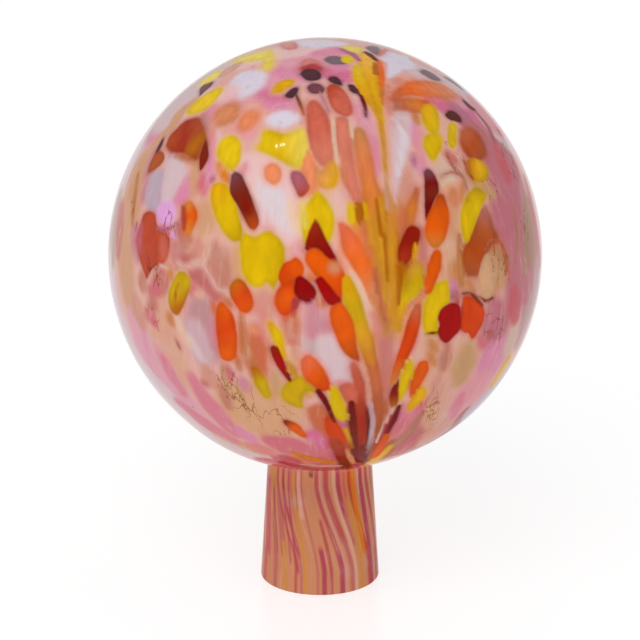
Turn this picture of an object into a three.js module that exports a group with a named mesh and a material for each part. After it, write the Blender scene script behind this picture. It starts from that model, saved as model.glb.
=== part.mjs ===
// A mouth-blown garden ball of coloured glass: one hollow bubble with the open neck it was blown through.
// It stands on the neck's cut rim, or the neck slips over a garden stake.
// Millimetres, +Z up. The origin is on the ground under the ball's centre.
import * as THREE from "three";

// The ball.
const BALL_DIAMETER = 150;
const BALL_WALL = 2.5;

// The neck widens a little from the ball down to its rim.
const NECK_HEIGHT = 44; // from the rim up to the lowest point that the bare ball would have
const NECK_RIM_DIAMETER = 42;
const NECK_TOP_DIAMETER = 36.4; // where the neck's side line meets the ball
const NECK_WALL = 3;
const CREASE_RADIUS = 1; // the tight inner curve outside, where the ball was necked in with the jacks
const RIM_ROUND = 0.7; // the fire-polished edges of the rim

// The neck isn't quite in line with the ball: it sits this far towards -X, and the ball's underside follows it.
const NECK_SHIFT = 1.8;
const SHIFT_FADES_OVER = 22; // height above the crease in which the ball's underside comes back into line

// How finely the curves are divided.
const STEPS_AROUND = 56;
const BALL_STEPS = 30;
const INSIDE_STEPS = 24;
const CREASE_STEPS = 4;
const RIM_STEPS = 3;

// What follows from those sizes. Profiles are drawn in (r, z), with r the distance from the axis.
const ballRadius = BALL_DIAMETER / 2;
const ballCentre = new THREE.Vector2(0, NECK_HEIGHT + ballRadius);
const rimRadius = NECK_RIM_DIAMETER / 2;
const topRadius = NECK_TOP_DIAMETER / 2;
const creaseHeight = ballCentre.y - Math.sqrt(ballRadius ** 2 - topRadius ** 2);

// The points of an arc from one angle to another, in degrees from +r towards +z, both ends included.
function arc(centre, radius, fromDegrees, toDegrees, steps) {
  return Array.from({ length: steps + 1 }, (_, i) => {
    const angle = THREE.MathUtils.degToRad(THREE.MathUtils.lerp(fromDegrees, toDegrees, i / steps));
    return new THREE.Vector2(centre.x + radius * Math.cos(angle), centre.y + radius * Math.sin(angle));
  });
}

function degreesOf(from, to) {
  return THREE.MathUtils.radToDeg(Math.atan2(to.y - from.y, to.x - from.x));
}

// The neck's side is a straight line up from the rim. depth is how far it lies inside the outer surface.
function neckSide(depth) {
  const foot = new THREE.Vector2(rimRadius, 0);
  const along = new THREE.Vector2(topRadius, creaseHeight).sub(foot).normalize();
  const outward = new THREE.Vector2(along.y, -along.x);
  return { foot: foot.addScaledVector(outward, -depth), along, outward };
}

// The small arc that joins a ball of one radius to a neck side: it touches both and lies outside both.
function crease(radiusOfBall, side, radius) {
  const lineStart = side.foot.clone().addScaledVector(side.outward, radius);
  const reach = radiusOfBall + radius;
  const toCentre = ballCentre.clone().sub(lineStart);
  const nearest = toCentre.dot(side.along);
  const off = toCentre.dot(side.outward);
  const centre = lineStart.addScaledVector(side.along, nearest - Math.sqrt(reach ** 2 - off ** 2));
  const towardsBall = degreesOf(centre, ballCentre);
  const towardsNeck = THREE.MathUtils.radToDeg(Math.atan2(-side.outward.y, -side.outward.x));
  return { centre, radius, towardsBall, towardsNeck: (towardsNeck + 360) % 360 };
}

// From the top of the ball down the outside, round the rim, and up the inside to the top again.
function glassProfile() {
  const outerSide = neckSide(0);
  const innerSide = neckSide(NECK_WALL);
  const outerCrease = crease(ballRadius, outerSide, CREASE_RADIUS);
  const innerCrease = crease(ballRadius - BALL_WALL, innerSide, CREASE_RADIUS + NECK_WALL);
  const rimOuter = new THREE.Vector2(rimRadius - RIM_ROUND, RIM_ROUND);
  const rimInner = new THREE.Vector2(rimRadius - NECK_WALL + RIM_ROUND, RIM_ROUND);
  const points = [
    ...arc(ballCentre, ballRadius, 90, outerCrease.towardsBall - 180, BALL_STEPS),
    ...arc(outerCrease.centre, CREASE_RADIUS, outerCrease.towardsBall, outerCrease.towardsNeck, CREASE_STEPS).slice(1),
    ...arc(rimOuter, RIM_ROUND, 0, -90, RIM_STEPS),
    ...arc(rimInner, RIM_ROUND, 270, 180, RIM_STEPS),
    ...arc(innerCrease.centre, innerCrease.radius, innerCrease.towardsNeck, innerCrease.towardsBall, CREASE_STEPS),
    ...arc(ballCentre, ballRadius - BALL_WALL, innerCrease.towardsBall - 180, 90, INSIDE_STEPS).slice(1),
  ];
  // Both poles lie exactly on the axis.
  points[0].x = 0;
  points[points.length - 1].x = 0;
  return points;
}

// How far the glass at a height stands towards -X.
function sideways(z) {
  const faded = THREE.MathUtils.smoothstep(z, creaseHeight, creaseHeight + SHIFT_FADES_OVER);
  return NECK_SHIFT * (1 - faded);
}

// The lathe turns about +Y, from the profile's first point, so it is stood up on +Z and faces out.
function glassGeometry() {
  const geometry = new THREE.LatheGeometry(glassProfile().reverse(), STEPS_AROUND);
  geometry.rotateX(Math.PI / 2);
  const position = geometry.getAttribute("position");
  for (let i = 0; i < position.count; i++) {
    position.setX(i, position.getX(i) - sideways(position.getZ(i)));
  }
  geometry.computeVertexNormals();
  return geometry;
}

const glass = new THREE.MeshStandardMaterial({
  name: "coloured_glass",
  color: new THREE.Color(0.82, 0.52, 0.5),
  roughness: 0.08,
  metalness: 0,
});

const gardenBall = new THREE.Group();
gardenBall.name = "glass_garden_ball";
const ballWithNeck = new THREE.Mesh(glassGeometry(), glass);
ballWithNeck.name = "glass_ball_with_neck";
gardenBall.add(ballWithNeck);

export default gardenBall;
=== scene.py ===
"""A mouth-blown garden ball of opal glass with stretched chips of colour, standing on its open neck."""
import math

import bpy
import numpy as np
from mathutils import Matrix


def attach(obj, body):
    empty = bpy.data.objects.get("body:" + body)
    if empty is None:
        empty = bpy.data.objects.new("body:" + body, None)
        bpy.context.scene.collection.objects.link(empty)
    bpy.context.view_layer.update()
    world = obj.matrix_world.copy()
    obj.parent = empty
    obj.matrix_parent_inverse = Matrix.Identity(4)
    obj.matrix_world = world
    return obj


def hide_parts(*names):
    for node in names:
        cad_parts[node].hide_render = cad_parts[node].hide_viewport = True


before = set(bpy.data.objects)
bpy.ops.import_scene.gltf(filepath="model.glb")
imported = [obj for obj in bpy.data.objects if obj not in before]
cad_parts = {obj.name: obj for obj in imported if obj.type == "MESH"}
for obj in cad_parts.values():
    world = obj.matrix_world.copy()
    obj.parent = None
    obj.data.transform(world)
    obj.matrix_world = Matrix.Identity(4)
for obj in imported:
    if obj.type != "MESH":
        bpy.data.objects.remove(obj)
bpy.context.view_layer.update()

MM = 0.001

# The glass, in millimetres: the same sizes as the solid's.
BALL_RADIUS = 75.0
BALL_WALL = 2.5
NECK_HEIGHT = 44.0
NECK_RIM_RADIUS = 21.0
NECK_TOP_RADIUS = 18.2
NECK_WALL = 3.0
CREASE_RADIUS = 1.0
RIM_ROUND = 0.7
NECK_SHIFT = 1.8
SHIFT_FADES_OVER = 22.0

BALL_CENTRE = np.array([0.0, 0.0, NECK_HEIGHT + BALL_RADIUS])
CREASE_HEIGHT = BALL_CENTRE[2] - math.sqrt(BALL_RADIUS**2 - NECK_TOP_RADIUS**2)

# How finely the mesh is divided: the colours of the chips are painted on its points.
OUTER_STEPS_AROUND = 384
INNER_STEPS_AROUND = 96
OUTER_ROW = 1.15
INNER_ROW = 4.0
NECK_ROW = 1.3
CREASE_ROW = 0.4
INNER_CREASE_ROW = 1.0
RIM_ROW = 0.3

# The camera, in the photograph's frame of 640 by 640 pixels. The ball is a circle there round BALL_PIXEL.
PHOTO_SIZE = 640
SENSOR_WIDTH = 36.0
FOCAL_PIXELS = 3466.0
CAMERA_DISTANCE = 1200.0
CAMERA_ELEVATION = math.radians(17.3)
BALL_PIXEL = np.array([325.3, 254.4])

CAMERA_YAW = math.atan((BALL_PIXEL[0] - PHOTO_SIZE / 2) / FOCAL_PIXELS)
CAMERA_PITCH = CAMERA_ELEVATION + math.atan((PHOTO_SIZE / 2 - BALL_PIXEL[1]) / FOCAL_PIXELS)
TO_EYE = np.array([0.0, -math.cos(CAMERA_ELEVATION), math.sin(CAMERA_ELEVATION)])
EYE = BALL_CENTRE + CAMERA_DISTANCE * TO_EYE
FORWARD = np.array([
    -math.sin(CAMERA_YAW) * math.cos(CAMERA_PITCH),
    math.cos(CAMERA_YAW) * math.cos(CAMERA_PITCH),
    -math.sin(CAMERA_PITCH),
])
RIGHT = np.array([math.cos(CAMERA_YAW), math.sin(CAMERA_YAW), 0.0])
UP = np.cross(RIGHT, FORWARD)

# The colours of the glass, as they look in the photograph, 0 to 255.
# Being colours as seen, they also carry part of the shade: where the ball turns away from the lamp, to the
# right and underneath, its washes are painted darker.
GLASS = {
    "blush": (220, 166, 156),
    "pale_pink": (226, 184, 184),
    "cream_pink": (224, 176, 162),
    "rosy": (218, 152, 168),
    "pink": (218, 144, 152),
    "orchid": (214, 134, 162),
    "magenta_pink": (208, 106, 142),
    # a painted highlight: the lilac gleam of a lamp in the glass's lustre, not a glass of its own
    "bright_lilac": (220, 160, 214),
    "milk_white": (216, 200, 204),
    "milk_lilac": (215, 206, 220),
    "milk_pink": (210, 182, 186),
    "milk_grey": (190, 172, 174),
    "grey_lilac": (184, 162, 174),
    "grey_rose": (186, 136, 138),
    "cream": (230, 192, 164),
    "beige": (206, 170, 154),
    "cream_olive": (212, 190, 156),
    "peach": (214, 160, 136),
    "peach_tan": (210, 158, 120),
    "tan": (205, 152, 118),
    "khaki": (194, 148, 106),
    "neck_tan": (200, 134, 98),
    "rose": (204, 108, 118),
    "mauve_rose": (190, 110, 122),
    "crimson_rose": (196, 92, 100),
    "tan_rose": (205, 142, 126),
    "brown_rose": (188, 122, 102),
    "rose_brown": (194, 118, 108),
    "mauve_pink": (198, 132, 142),
    "mauve": (180, 106, 130),
    "coral_pink": (212, 128, 120),
    "salmon": (220, 138, 96),
    "bright_salmon": (236, 140, 96),
    "lemon": (228, 190, 30),
    "yellow": (218, 178, 8),
    "olive": (198, 158, 4),
    "gold": (224, 164, 24),
    "pale_yellow": (236, 208, 84),
    "ochre": (206, 144, 50),
    "gold_tan": (214, 148, 42),
    "orange_tan": (212, 122, 52),
    "amber": (212, 118, 22),
    "brown_ochre": (184, 104, 16),
    "orange": (222, 90, 10),
    "deep_orange": (210, 68, 4),
    "bright_orange": (238, 108, 40),
    "bright_coral": (228, 108, 76),
    "coral": (204, 100, 80),
    "brown_coral": (196, 104, 70),
    "brick": (186, 74, 50),
    "rust": (178, 74, 30),
    "deep_rust": (136, 48, 18),
    "tan_brown": (196, 128, 78),
    "crimson": (180, 62, 68),
    "magenta": (170, 66, 88),
    "blood": (162, 16, 2),
    "blood_brown": (142, 34, 10),
    "dark_wine": (118, 22, 22),
    "maroon": (124, 42, 30),
    "wine_grey": (118, 68, 76),
    "mulberry": (176, 96, 106),
    "black_brown": (92, 42, 34),
    "soot": (122, 98, 106),
    "night": (84, 48, 56),
    "neck_ochre": (200, 136, 70),
    "neck_crimson": (178, 80, 84),
    "marigold": (238, 176, 66),
    "fountain": (200, 126, 42),
    "orange_salmon": (222, 124, 78),
    "soft_coral": (214, 122, 100),
    "cinnamon": (174, 86, 46),
    "dusky_rose": (186, 104, 100),
    "rose_pink": (210, 122, 138),
    "dusk": (170, 124, 102),
    "oxblood": (164, 50, 30),
    "garnet": (142, 18, 8),
    "russet": (184, 108, 68),
    # the left outline's glass, with the room's reflection painted into it
    "rim_brown": (184, 150, 138),
    "lilac_rose": (200, 162, 168),
}

REFLECTED = 0.008  # the white light that the glass reflects, which its own colour leaves room for
DARKEST = 0.0005  # the least of each colour that is left then


def linear(name):
    """A named glass colour in linear light, without the light that its surface reflects."""
    value = np.array(GLASS[name]) / 255
    # The sRGB curve.
    seen = np.where(value <= 0.04045, value / 12.92, ((value + 0.055) / 1.055) ** 2.4)
    return np.maximum(seen - REFLECTED, DARKEST)


# Each wash and chip below is: glass, path, width and softness of its edge, in photograph pixels. Without a
# width the path is an outline. Several glasses or widths follow one another along the path.

# The soft clouds of the ground, painted one over the other.
WASHES = [
    # the broad areas
    # This pale band along the upper left outline is partly the glass's colour, partly painted reflection of
    # the bright room.
    ("milk_pink", [(137, 150), (160, 112), (195, 84), (232, 62)], 14, 6),
    ("rosy", [(226, 108), (262, 78), (312, 66), (358, 60)], 30, 9),
    ("pale_pink", [(240, 66), (272, 54), (300, 50), (330, 50)], 12, 6),
    ("rosy", [(352, 100), (362, 122), (374, 150)], 26, 8),
    ("rosy", [(236, 140), (252, 118)], 22, 8),
    ("peach", [(205, 195), (203, 245), (215, 262)], 34, 10),
    ("brown_rose", [(222, 248), (225, 290)], 22, 7),
    ("tan", [(236, 245), (239, 282)], 14, 6),
    ("tan_rose", [(262, 288), (268, 322)], 30, 9),
    ("brown_coral", [(254, 324), (256, 350), (262, 384)], 30, 8),
    ("mauve_pink", [(312, 302), (320, 330), (318, 352)], 34, 8),
    ("peach_tan", [(246, 392), (262, 412), (288, 432)], 54, 14),
    ("peach_tan", [(222, 388), (240, 408), (262, 430)], 30, 10),
    ("tan_rose", [(405, 165), (408, 215), (402, 250)], 26, 8),
    ("rose_brown", [(423, 226), (421, 262), (424, 300)], (12, 16, 10), 5),
    ("peach", [(448, 160), (452, 220), (452, 290)], 30, 9),
    ("tan", [(490, 180), (470, 184)], 20, 7),
    ("mauve_rose", [(484, 118), (502, 160), (514, 205), (518, 250), (518, 300)], 34, 8),
    ("tan_brown", [(488, 250), (500, 285)], 34, 9),
    ("tan_brown", [(448, 262), (468, 288)], 26, 9),
    ("mauve_rose", [(494, 302), (500, 345)], 30, 8),
    ("peach", [(425, 335), (430, 370), (436, 420)], 26, 9),
    ("peach", [(466, 335), (462, 385)], 34, 9),
    ("rose", [(420, 398), (408, 440)], 36, 9),
    ("peach", [(446, 395), (436, 428)], 22, 8),
    ("grey_rose", [(200, 296), (204, 330), (214, 360)], 36, 9),
    ("tan", [(128, 300), (124, 240), (132, 190), (144, 160)], 20, 7),
    ("mauve_pink", [(138, 262), (134, 225)], 11, 5),
    ("peach", [(160, 296), (164, 345), (182, 385)], 26, 9),
    ("rosy", [(134, 318), (148, 355), (172, 395), (205, 425)], 20, 8),
    ("brick", [(322, 408), (336, 440), (350, 466)], 44, 8),
    ("oxblood", [(354, 392), (358, 430), (358, 466)], 24, 5),
    ("tan_brown", [(382, 190), (386, 250), (388, 300), (387, 345)], (40, 46, 34, 20), 7),
    ("fountain", [(382, 196), (388, 250), (391, 290), (389, 330)], (20, 34, 22, 8), 5),
    ("gold_tan", [(352, 206), (360, 236)], 18, 5),
    ("orange_tan", [(364, 226), (368, 264), (372, 300)], (16, 22, 12), 5),
    ("rose_brown", [(385, 335), (386, 380), (378, 430), (370, 462)], (18, 18, 14, 8), 6),
    ("dusky_rose", [(386, 455), (412, 444), (436, 432)], 14, 5),
    ("tan_rose", [(425, 438), (446, 428), (464, 414)], 10, 4),
    # These two pale bands along the right outline are partly the glass's colour, partly painted reflection of
    # the bright room.
    ("grey_lilac", [(458, 424), (480, 404), (500, 380)], 8, 3),
    ("grey_rose", [(538, 258), (532, 300), (520, 340)], 10, 4),
    ("brown_rose", [(184, 262), (200, 252), (214, 268)], 12, 5),
    # the top
    # This pale band along the top outline is painted sheen, the bright room reflected at the rim.
    ("milk_lilac", [(302, 42), (340, 44)], 8, 4),
    ("orchid", [(314, 54), (354, 48)], 9, 4),
    ("orchid", [(152, 136), (166, 118), (185, 100)], 12, 6),
    ("milk_pink", [(172, 108), (192, 92)], 22, 6),
    ("tan", [(152, 146), (172, 126), (180, 113), (196, 100)], 8, 4),
    ("orchid", [(205, 128), (212, 112), (220, 100)], 14, 6),
    ("grey_rose", [(203, 112), (208, 134)], 12, 5),
    ("pink", [(218, 100), (217, 122)], 10, 6),
    ("pale_pink", [(216, 122), (217, 148)], 8, 4),
    ("milk_lilac", [(232, 92), (230, 84), (236, 76), (246, 71), (260, 70), (268, 73), (265, 82), (260, 90),
        (248, 96), (240, 100)], None, 5),
    ("pale_pink", [(222, 98), (232, 90)], 14, 6),
    ("orchid", [(270, 68), (290, 74), (302, 78)], 13, 5),
    ("magenta_pink", [(268, 90), (264, 96), (292, 104)], 13, 6),
    ("orchid", [(262, 104), (296, 108)], 12, 5),
    ("milk_lilac", [(266, 120), (298, 118)], 18, 5),
    ("magenta_pink", [(324, 72), (340, 74), (354, 80)], 17, 4),
    ("orchid", [(328, 66), (350, 68)], 8, 4),
    ("milk_pink", [(406, 66), (448, 84)], 14, 6),
    ("tan_rose", [(392, 84), (402, 78)], 10, 4),
    ("milk_lilac", [(387, 66), (392, 58), (400, 55), (409, 57), (406, 67), (397, 74), (387, 78)], None, 2),
    ("magenta_pink", [(428, 94), (438, 100), (450, 108)], 17, 4),
    ("orchid", [(452, 96), (464, 106)], 10, 4),
    ("mauve", [(452, 104), (468, 122), (484, 146)], 14, 5),
    # This pale band along the upper right outline is partly the glass's colour, partly painted reflection of
    # the bright room.
    ("milk_pink", [(464, 90), (490, 120), (507, 143)], 9, 4),
    ("pink", [(480, 106), (496, 126)], 8, 4),
    ("magenta_pink", [(470, 112), (486, 135)], 6, 3),
    ("crimson_rose", [(494, 140), (504, 165), (508, 180)], 9, 4),
    # round the fountain, the fan of glass that is drawn out from the crown to the crease
    ("orchid", [(372, 135), (376, 178)], 11, 4),
    ("pink", [(352, 105), (358, 125)], 12, 5),
    ("coral_pink", [(388, 84), (389, 118)], 8, 4),
    ("milk_pink", [(391, 118), (398, 111), (410, 112), (414, 128), (409, 148), (403, 168), (397, 190),
        (395, 204), (393, 170)], None, 3),
    ("milk_white", [(398, 126), (403, 140), (398, 176)], (8, 10, 4), 3),
    ("orchid", [(414, 120), (416, 148)], 7, 5),
    ("mauve", [(414, 152), (415, 168)], 9, 4),
    ("pink", [(421, 130), (423, 165)], 11, 5),
    ("orchid", [(421, 160), (422, 176)], 8, 5),
    ("cream_pink", [(334, 188), (336, 222), (333, 255)], 18, 6),
    ("cream_pink", [(300, 182), (302, 210)], 8, 4),
    ("pale_pink", [(238, 155), (262, 153), (288, 168), (296, 200), (302, 235), (288, 245), (262, 232),
        (256, 200), (244, 175)], None, 6),
    ("milk_white", [(258, 178), (266, 184), (280, 188), (288, 200), (293, 215), (295, 230), (287, 232),
        (272, 220), (261, 208), (256, 192)], None, 6),
    ("cream", [(290, 200), (294, 230)], 9, 5),
    ("pink", [(246, 162), (243, 175)], 9, 5),
    ("pink", [(262, 228), (275, 233)], 9, 5),
    ("pink", [(300, 240), (294, 258)], 12, 5),
    ("peach", [(342, 240), (340, 264)], 9, 4),
    # the left side
    # These pale bands along the left outline are partly the glass's colour, partly painted reflection of the
    # bright room.
    ("milk_pink", [(113, 290), (110, 240), (120, 190), (135, 152)], 7, 4),
    ("rim_brown", [(113, 262), (113, 232), (119, 196)], 6, 3),
    ("rose_brown", [(118, 255), (121, 205)], 7, 4),
    ("mauve_pink", [(143, 200), (150, 172), (157, 148)], 11, 5),
    ("grey_lilac", [(150, 176), (156, 170), (164, 170), (164, 190), (160, 210), (148, 212), (145, 195)],
        None, 3),
    ("milk_pink", [(164, 156), (172, 153), (183, 157), (186, 168), (187, 182), (182, 192), (172, 202),
        (163, 206), (161, 190), (165, 172)], None, 3),
    ("orchid", [(189, 176), (184, 192), (174, 203)], 15, 4),
    # The bright lilac patch here is a painted highlight, a lamp's lilac reflection in the lustre.
    ("bright_lilac", [(160, 204), (168, 201), (176, 208), (174, 220), (166, 226), (158, 221), (156, 212)],
        None, 3),
    ("magenta_pink", [(160, 226), (172, 234)], 8, 4),
    # its tail, more of the painted lilac highlight
    ("bright_lilac", [(170, 230), (176, 242)], 6, 3),
    ("tan", [(196, 160), (194, 196)], 12, 4),
    ("khaki", [(189, 158), (198, 160)], 7, 4),
    ("rose", [(204, 172), (203, 195)], 13, 5),
    ("tan", [(204, 203), (205, 232)], 24, 6),
    ("pink", [(213, 162), (212, 125)], 9, 4),
    ("orchid", [(210, 152), (209, 190)], 8, 5),
    ("mauve", [(213, 177), (213, 182)], 7, 2),
    ("orange_tan", [(218, 160), (227, 183)], 12, 4),
    ("brown_rose", [(182, 236), (184, 252)], 12, 5),
    ("tan_rose", [(196, 238), (203, 262)], 12, 5),
    ("rose_brown", [(175, 240), (178, 270)], 12, 4),
    ("dusky_rose", [(180, 256), (190, 262)], 10, 3),
    ("rose_brown", [(148, 283), (152, 274), (159, 268), (166, 269), (170, 280), (168, 292), (160, 298),
        (150, 297), (146, 290)], None, 3),
    ("rose", [(152, 283), (158, 294)], 10, 4),
    ("dusky_rose", [(186, 276), (202, 276), (212, 288), (218, 302)], (14, 22, 16, 10), 4),
    ("rose", [(190, 286), (196, 294)], 12, 4),
    ("peach", [(194, 292), (202, 297)], 8, 4),
    ("grey_rose", [(190, 306), (206, 318)], 18, 6),
    ("lilac_rose", [(184, 322), (196, 318), (208, 335), (214, 358), (202, 366), (190, 352)], None, 5),
    ("milk_pink", [(188, 334), (198, 352), (205, 362)], 7, 4),
    ("mauve_pink", [(211, 318), (213, 350)], 9, 4),
    ("rose", [(144, 310), (150, 316), (157, 326)], 9, 3),
    ("rose_brown", [(150, 298), (155, 310)], 10, 5),
    ("pink", [(160, 350), (168, 372)], 12, 5),
    ("peach", [(172, 330), (178, 355), (190, 382)], 12, 5),
    ("rose_pink", [(163, 357), (172, 376), (184, 394)], 9, 4),
    ("rose_pink", [(190, 374), (205, 399), (220, 417), (236, 436)], 14, 4),
    ("tan_rose", [(204, 366), (216, 388)], 14, 5),
    ("brown_rose", [(222, 384), (229, 410)], 10, 4),
    ("rose_brown", [(202, 380), (208, 387)], 6, 2),
    # This pale band along the lower left outline is partly the glass's colour, partly painted reflection of
    # the bright room.
    ("milk_pink", [(118, 310), (130, 345), (150, 378), (178, 408), (215, 438), (255, 456)], 8, 4),
    ("orchid", [(238, 428), (256, 444)], 9, 4),
    ("peach_tan", [(196, 418), (224, 436), (258, 452)], 9, 4),
    ("rose_pink", [(178, 402), (206, 424), (236, 442)], 8, 4),
    # under the middle
    ("rose", [(268, 440), (290, 447), (312, 452)], 18, 5),
    ("crimson_rose", [(276, 456), (298, 464)], 9, 3),
    ("orange_tan", [(300, 458), (316, 464)], 12, 4),
    ("rose", [(316, 453), (334, 462)], 18, 4),
    ("crimson", [(304, 466), (326, 469), (350, 470)], 6, 2.5),
    ("crimson_rose", [(318, 458), (338, 466)], 5, 2),
    ("crimson_rose", [(264, 461), (282, 466), (304, 469)], 6, 2.5),
    ("crimson", [(352, 464), (364, 464)], 6, 2.5),
    ("magenta_pink", [(308, 432), (318, 438), (324, 450)], 16, 4),
    ("brown_coral", [(306, 408), (319, 403), (327, 411), (328, 438), (318, 430), (308, 418)], None, 4),
    ("pink", [(301, 392), (306, 402)], 8, 4),
    ("mauve_pink", [(240, 376), (247, 392)], 12, 4),
    ("crimson_rose", [(226, 364), (230, 382)], 12, 4),
    ("russet", [(241, 308), (242, 354)], 9, 4),
    ("russet", [(246, 340), (250, 362), (255, 378)], 9, 4),
    ("salmon", [(250, 328), (259, 333)], 8, 4),
    ("coral_pink", [(262, 308), (270, 345)], 11, 5),
    ("coral", [(285, 312), (290, 345)], 14, 5),
    ("peach", [(292, 344), (300, 368)], 12, 5),
    ("pink", [(290, 364), (298, 378)], 8, 4),
    ("khaki", [(276, 370), (276, 396)], 12, 5),
    ("milk_pink", [(318, 336), (334, 334), (344, 348), (351, 362), (352, 380), (340, 385), (328, 380),
        (322, 362), (312, 348)], None, 5),
    ("milk_grey", [(306, 342), (316, 354)], 12, 6),
    ("pink", [(332, 384), (346, 382)], 6, 3),
    ("mauve", [(334, 420), (346, 428)], 9, 3),
    # the fountain's own ground
    ("gold_tan", [(370, 215), (378, 268)], 20, 6),
    ("brown_coral", [(404, 206), (402, 236)], 10, 4),
    ("brown_ochre", [(397, 232), (400, 288)], 9, 3),
    ("coral_pink", [(374, 296), (378, 324), (372, 345)], 11, 4),
    ("cream_pink", [(346, 258), (358, 282), (368, 308)], 8, 4),
    ("peach", [(360, 335), (367, 370), (369, 400)], 8, 3),
    ("grey_lilac", [(372, 404), (372, 424), (369, 442)], 4, 2),
    ("salmon", [(412, 302), (404, 325), (400, 345)], 5, 3),
    ("coral_pink", [(414, 330), (408, 352)], 11, 5),
    ("cinnamon", [(381, 398), (385, 428), (378, 452)], (12, 12, 6), 4),
    # the right side
    ("beige", [(440, 168), (452, 172)], 22, 6),
    ("coral_pink", [(449, 150), (453, 166)], 10, 3),
    ("cream_olive", [(442, 186), (448, 180), (455, 179)], 5, 3),
    ("tan", [(453, 205), (453, 238)], 12, 5),
    ("tan", [(446, 250), (448, 278)], 13, 6),
    ("tan_brown", [(452, 262), (460, 284)], 10, 5),
    ("mauve_rose", [(504, 200), (505, 225), (512, 248)], 14, 5),
    ("mauve_rose", [(494, 200), (498, 235)], 10, 5),
    ("dusk", [(528, 205), (531, 240), (528, 276)], 14, 4),
    ("khaki", [(466, 172), (480, 186), (496, 196)], 14, 5),
    ("tan_brown", [(464, 180), (460, 204)], 8, 4),
    ("crimson_rose", [(514, 288), (516, 322)], 12, 4),
    ("khaki", [(498, 250), (502, 285)], 9, 4),
    ("mauve_rose", [(492, 306), (494, 340)], 14, 6),
    ("rose", [(478, 335), (486, 350)], 10, 5),
    ("orchid", [(498, 342), (490, 376)], 22, 6),
    ("beige", [(514, 330), (508, 352)], 9, 4),
    ("brown_rose", [(448, 344), (443, 372)], 12, 4),
    ("khaki", [(468, 345), (460, 385)], 20, 6),
    ("tan_rose", [(440, 374), (436, 400)], 12, 5),
    ("pink", [(478, 385), (466, 404)], 20, 7),
    ("rose_pink", [(462, 394), (452, 418)], 8, 4),
    ("rose_pink", [(410, 404), (400, 438)], 18, 6),
    ("tan", [(430, 400), (428, 430)], 9, 4),
    ("rose", [(408, 418), (397, 440)], 12, 5),
    # the deeper glass between the chips
    ("tan_brown", [(168, 264), (172, 282)], 8, 4),
    ("dusky_rose", [(178, 224), (181, 240)], 9, 4),
    ("russet", [(236, 352), (240, 372)], 8, 4),
    ("russet", [(222, 296), (233, 308)], 9, 4),
    ("orange_tan", [(418, 294), (421, 314)], 7, 3),
    ("gold_tan", [(404, 298), (407, 318)], 7, 3),
    ("brown_ochre", [(412, 248), (409, 272)], 9, 3),
    ("brown_coral", [(292, 304), (294, 346)], 15, 4),
    ("brown_coral", [(322, 296), (321, 308)], 12, 4),
    ("tan_rose", [(295, 336), (293, 362)], 10, 4),
    ("tan_brown", [(429, 338), (438, 354)], 12, 4),
    ("cinnamon", [(455, 292), (459, 305)], 7, 3),
    ("tan_brown", [(465, 281), (477, 292)], 8, 4),
    ("orange_tan", [(308, 272), (313, 282)], 8, 3),
    ("russet", [(174, 155), (192, 160)], 6, 3),
    ("brown_rose", [(214, 240), (216, 262)], 8, 4),
    ("dusky_rose", [(214, 281), (219, 297)], 7, 3),
    ("coral_pink", [(248, 445), (274, 454)], 9, 4),
    ("brown_rose", [(141, 273), (143, 291)], 8, 4),
    ("tan_brown", [(414, 111), (418, 125)], 8, 3),
    ("brown_coral", [(290, 326), (297, 345)], 12, 4),
    ("brown_rose", [(213, 277), (223, 297)], 9, 3),
    ("tan_rose", [(135, 298), (142, 326)], 13, 5),
    ("rose_brown", [(178, 266), (196, 270)], 6, 3),
    ("dusky_rose", [(151, 269), (165, 270)], 6, 3),
    ("orchid", [(375, 138), (379, 172)], 9, 3),
    ("brown_coral", [(285, 318), (291, 344)], 12, 3),
    ("orange_tan", [(223, 170), (229, 184)], 7, 3),
    ("brown_rose", [(184, 232), (192, 243)], 9, 3),
    ("tan_brown", [(428, 351), (436, 367)], 9, 3),
    ("brown_rose", [(211, 244), (216, 260)], 9, 4),
    ("deep_rust", [(362, 450), (368, 464)], 10, 3),
    ("dusky_rose", [(214, 280), (222, 296)], 8, 3),
    ("ochre", [(304, 390), (311, 398)], 7, 3),
    ("milk_lilac", [(390, 58), (402, 60)], 12, 2),
    ("crimson_rose", [(392, 450), (414, 440)], 10, 4),
    ("brown_coral", [(212, 300), (216, 316)], 7, 3),
    ("mauve_rose", [(531, 270), (526, 300)], 9, 3),
    ("tan_brown", [(168, 312), (173, 326)], 8, 3),
]

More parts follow.
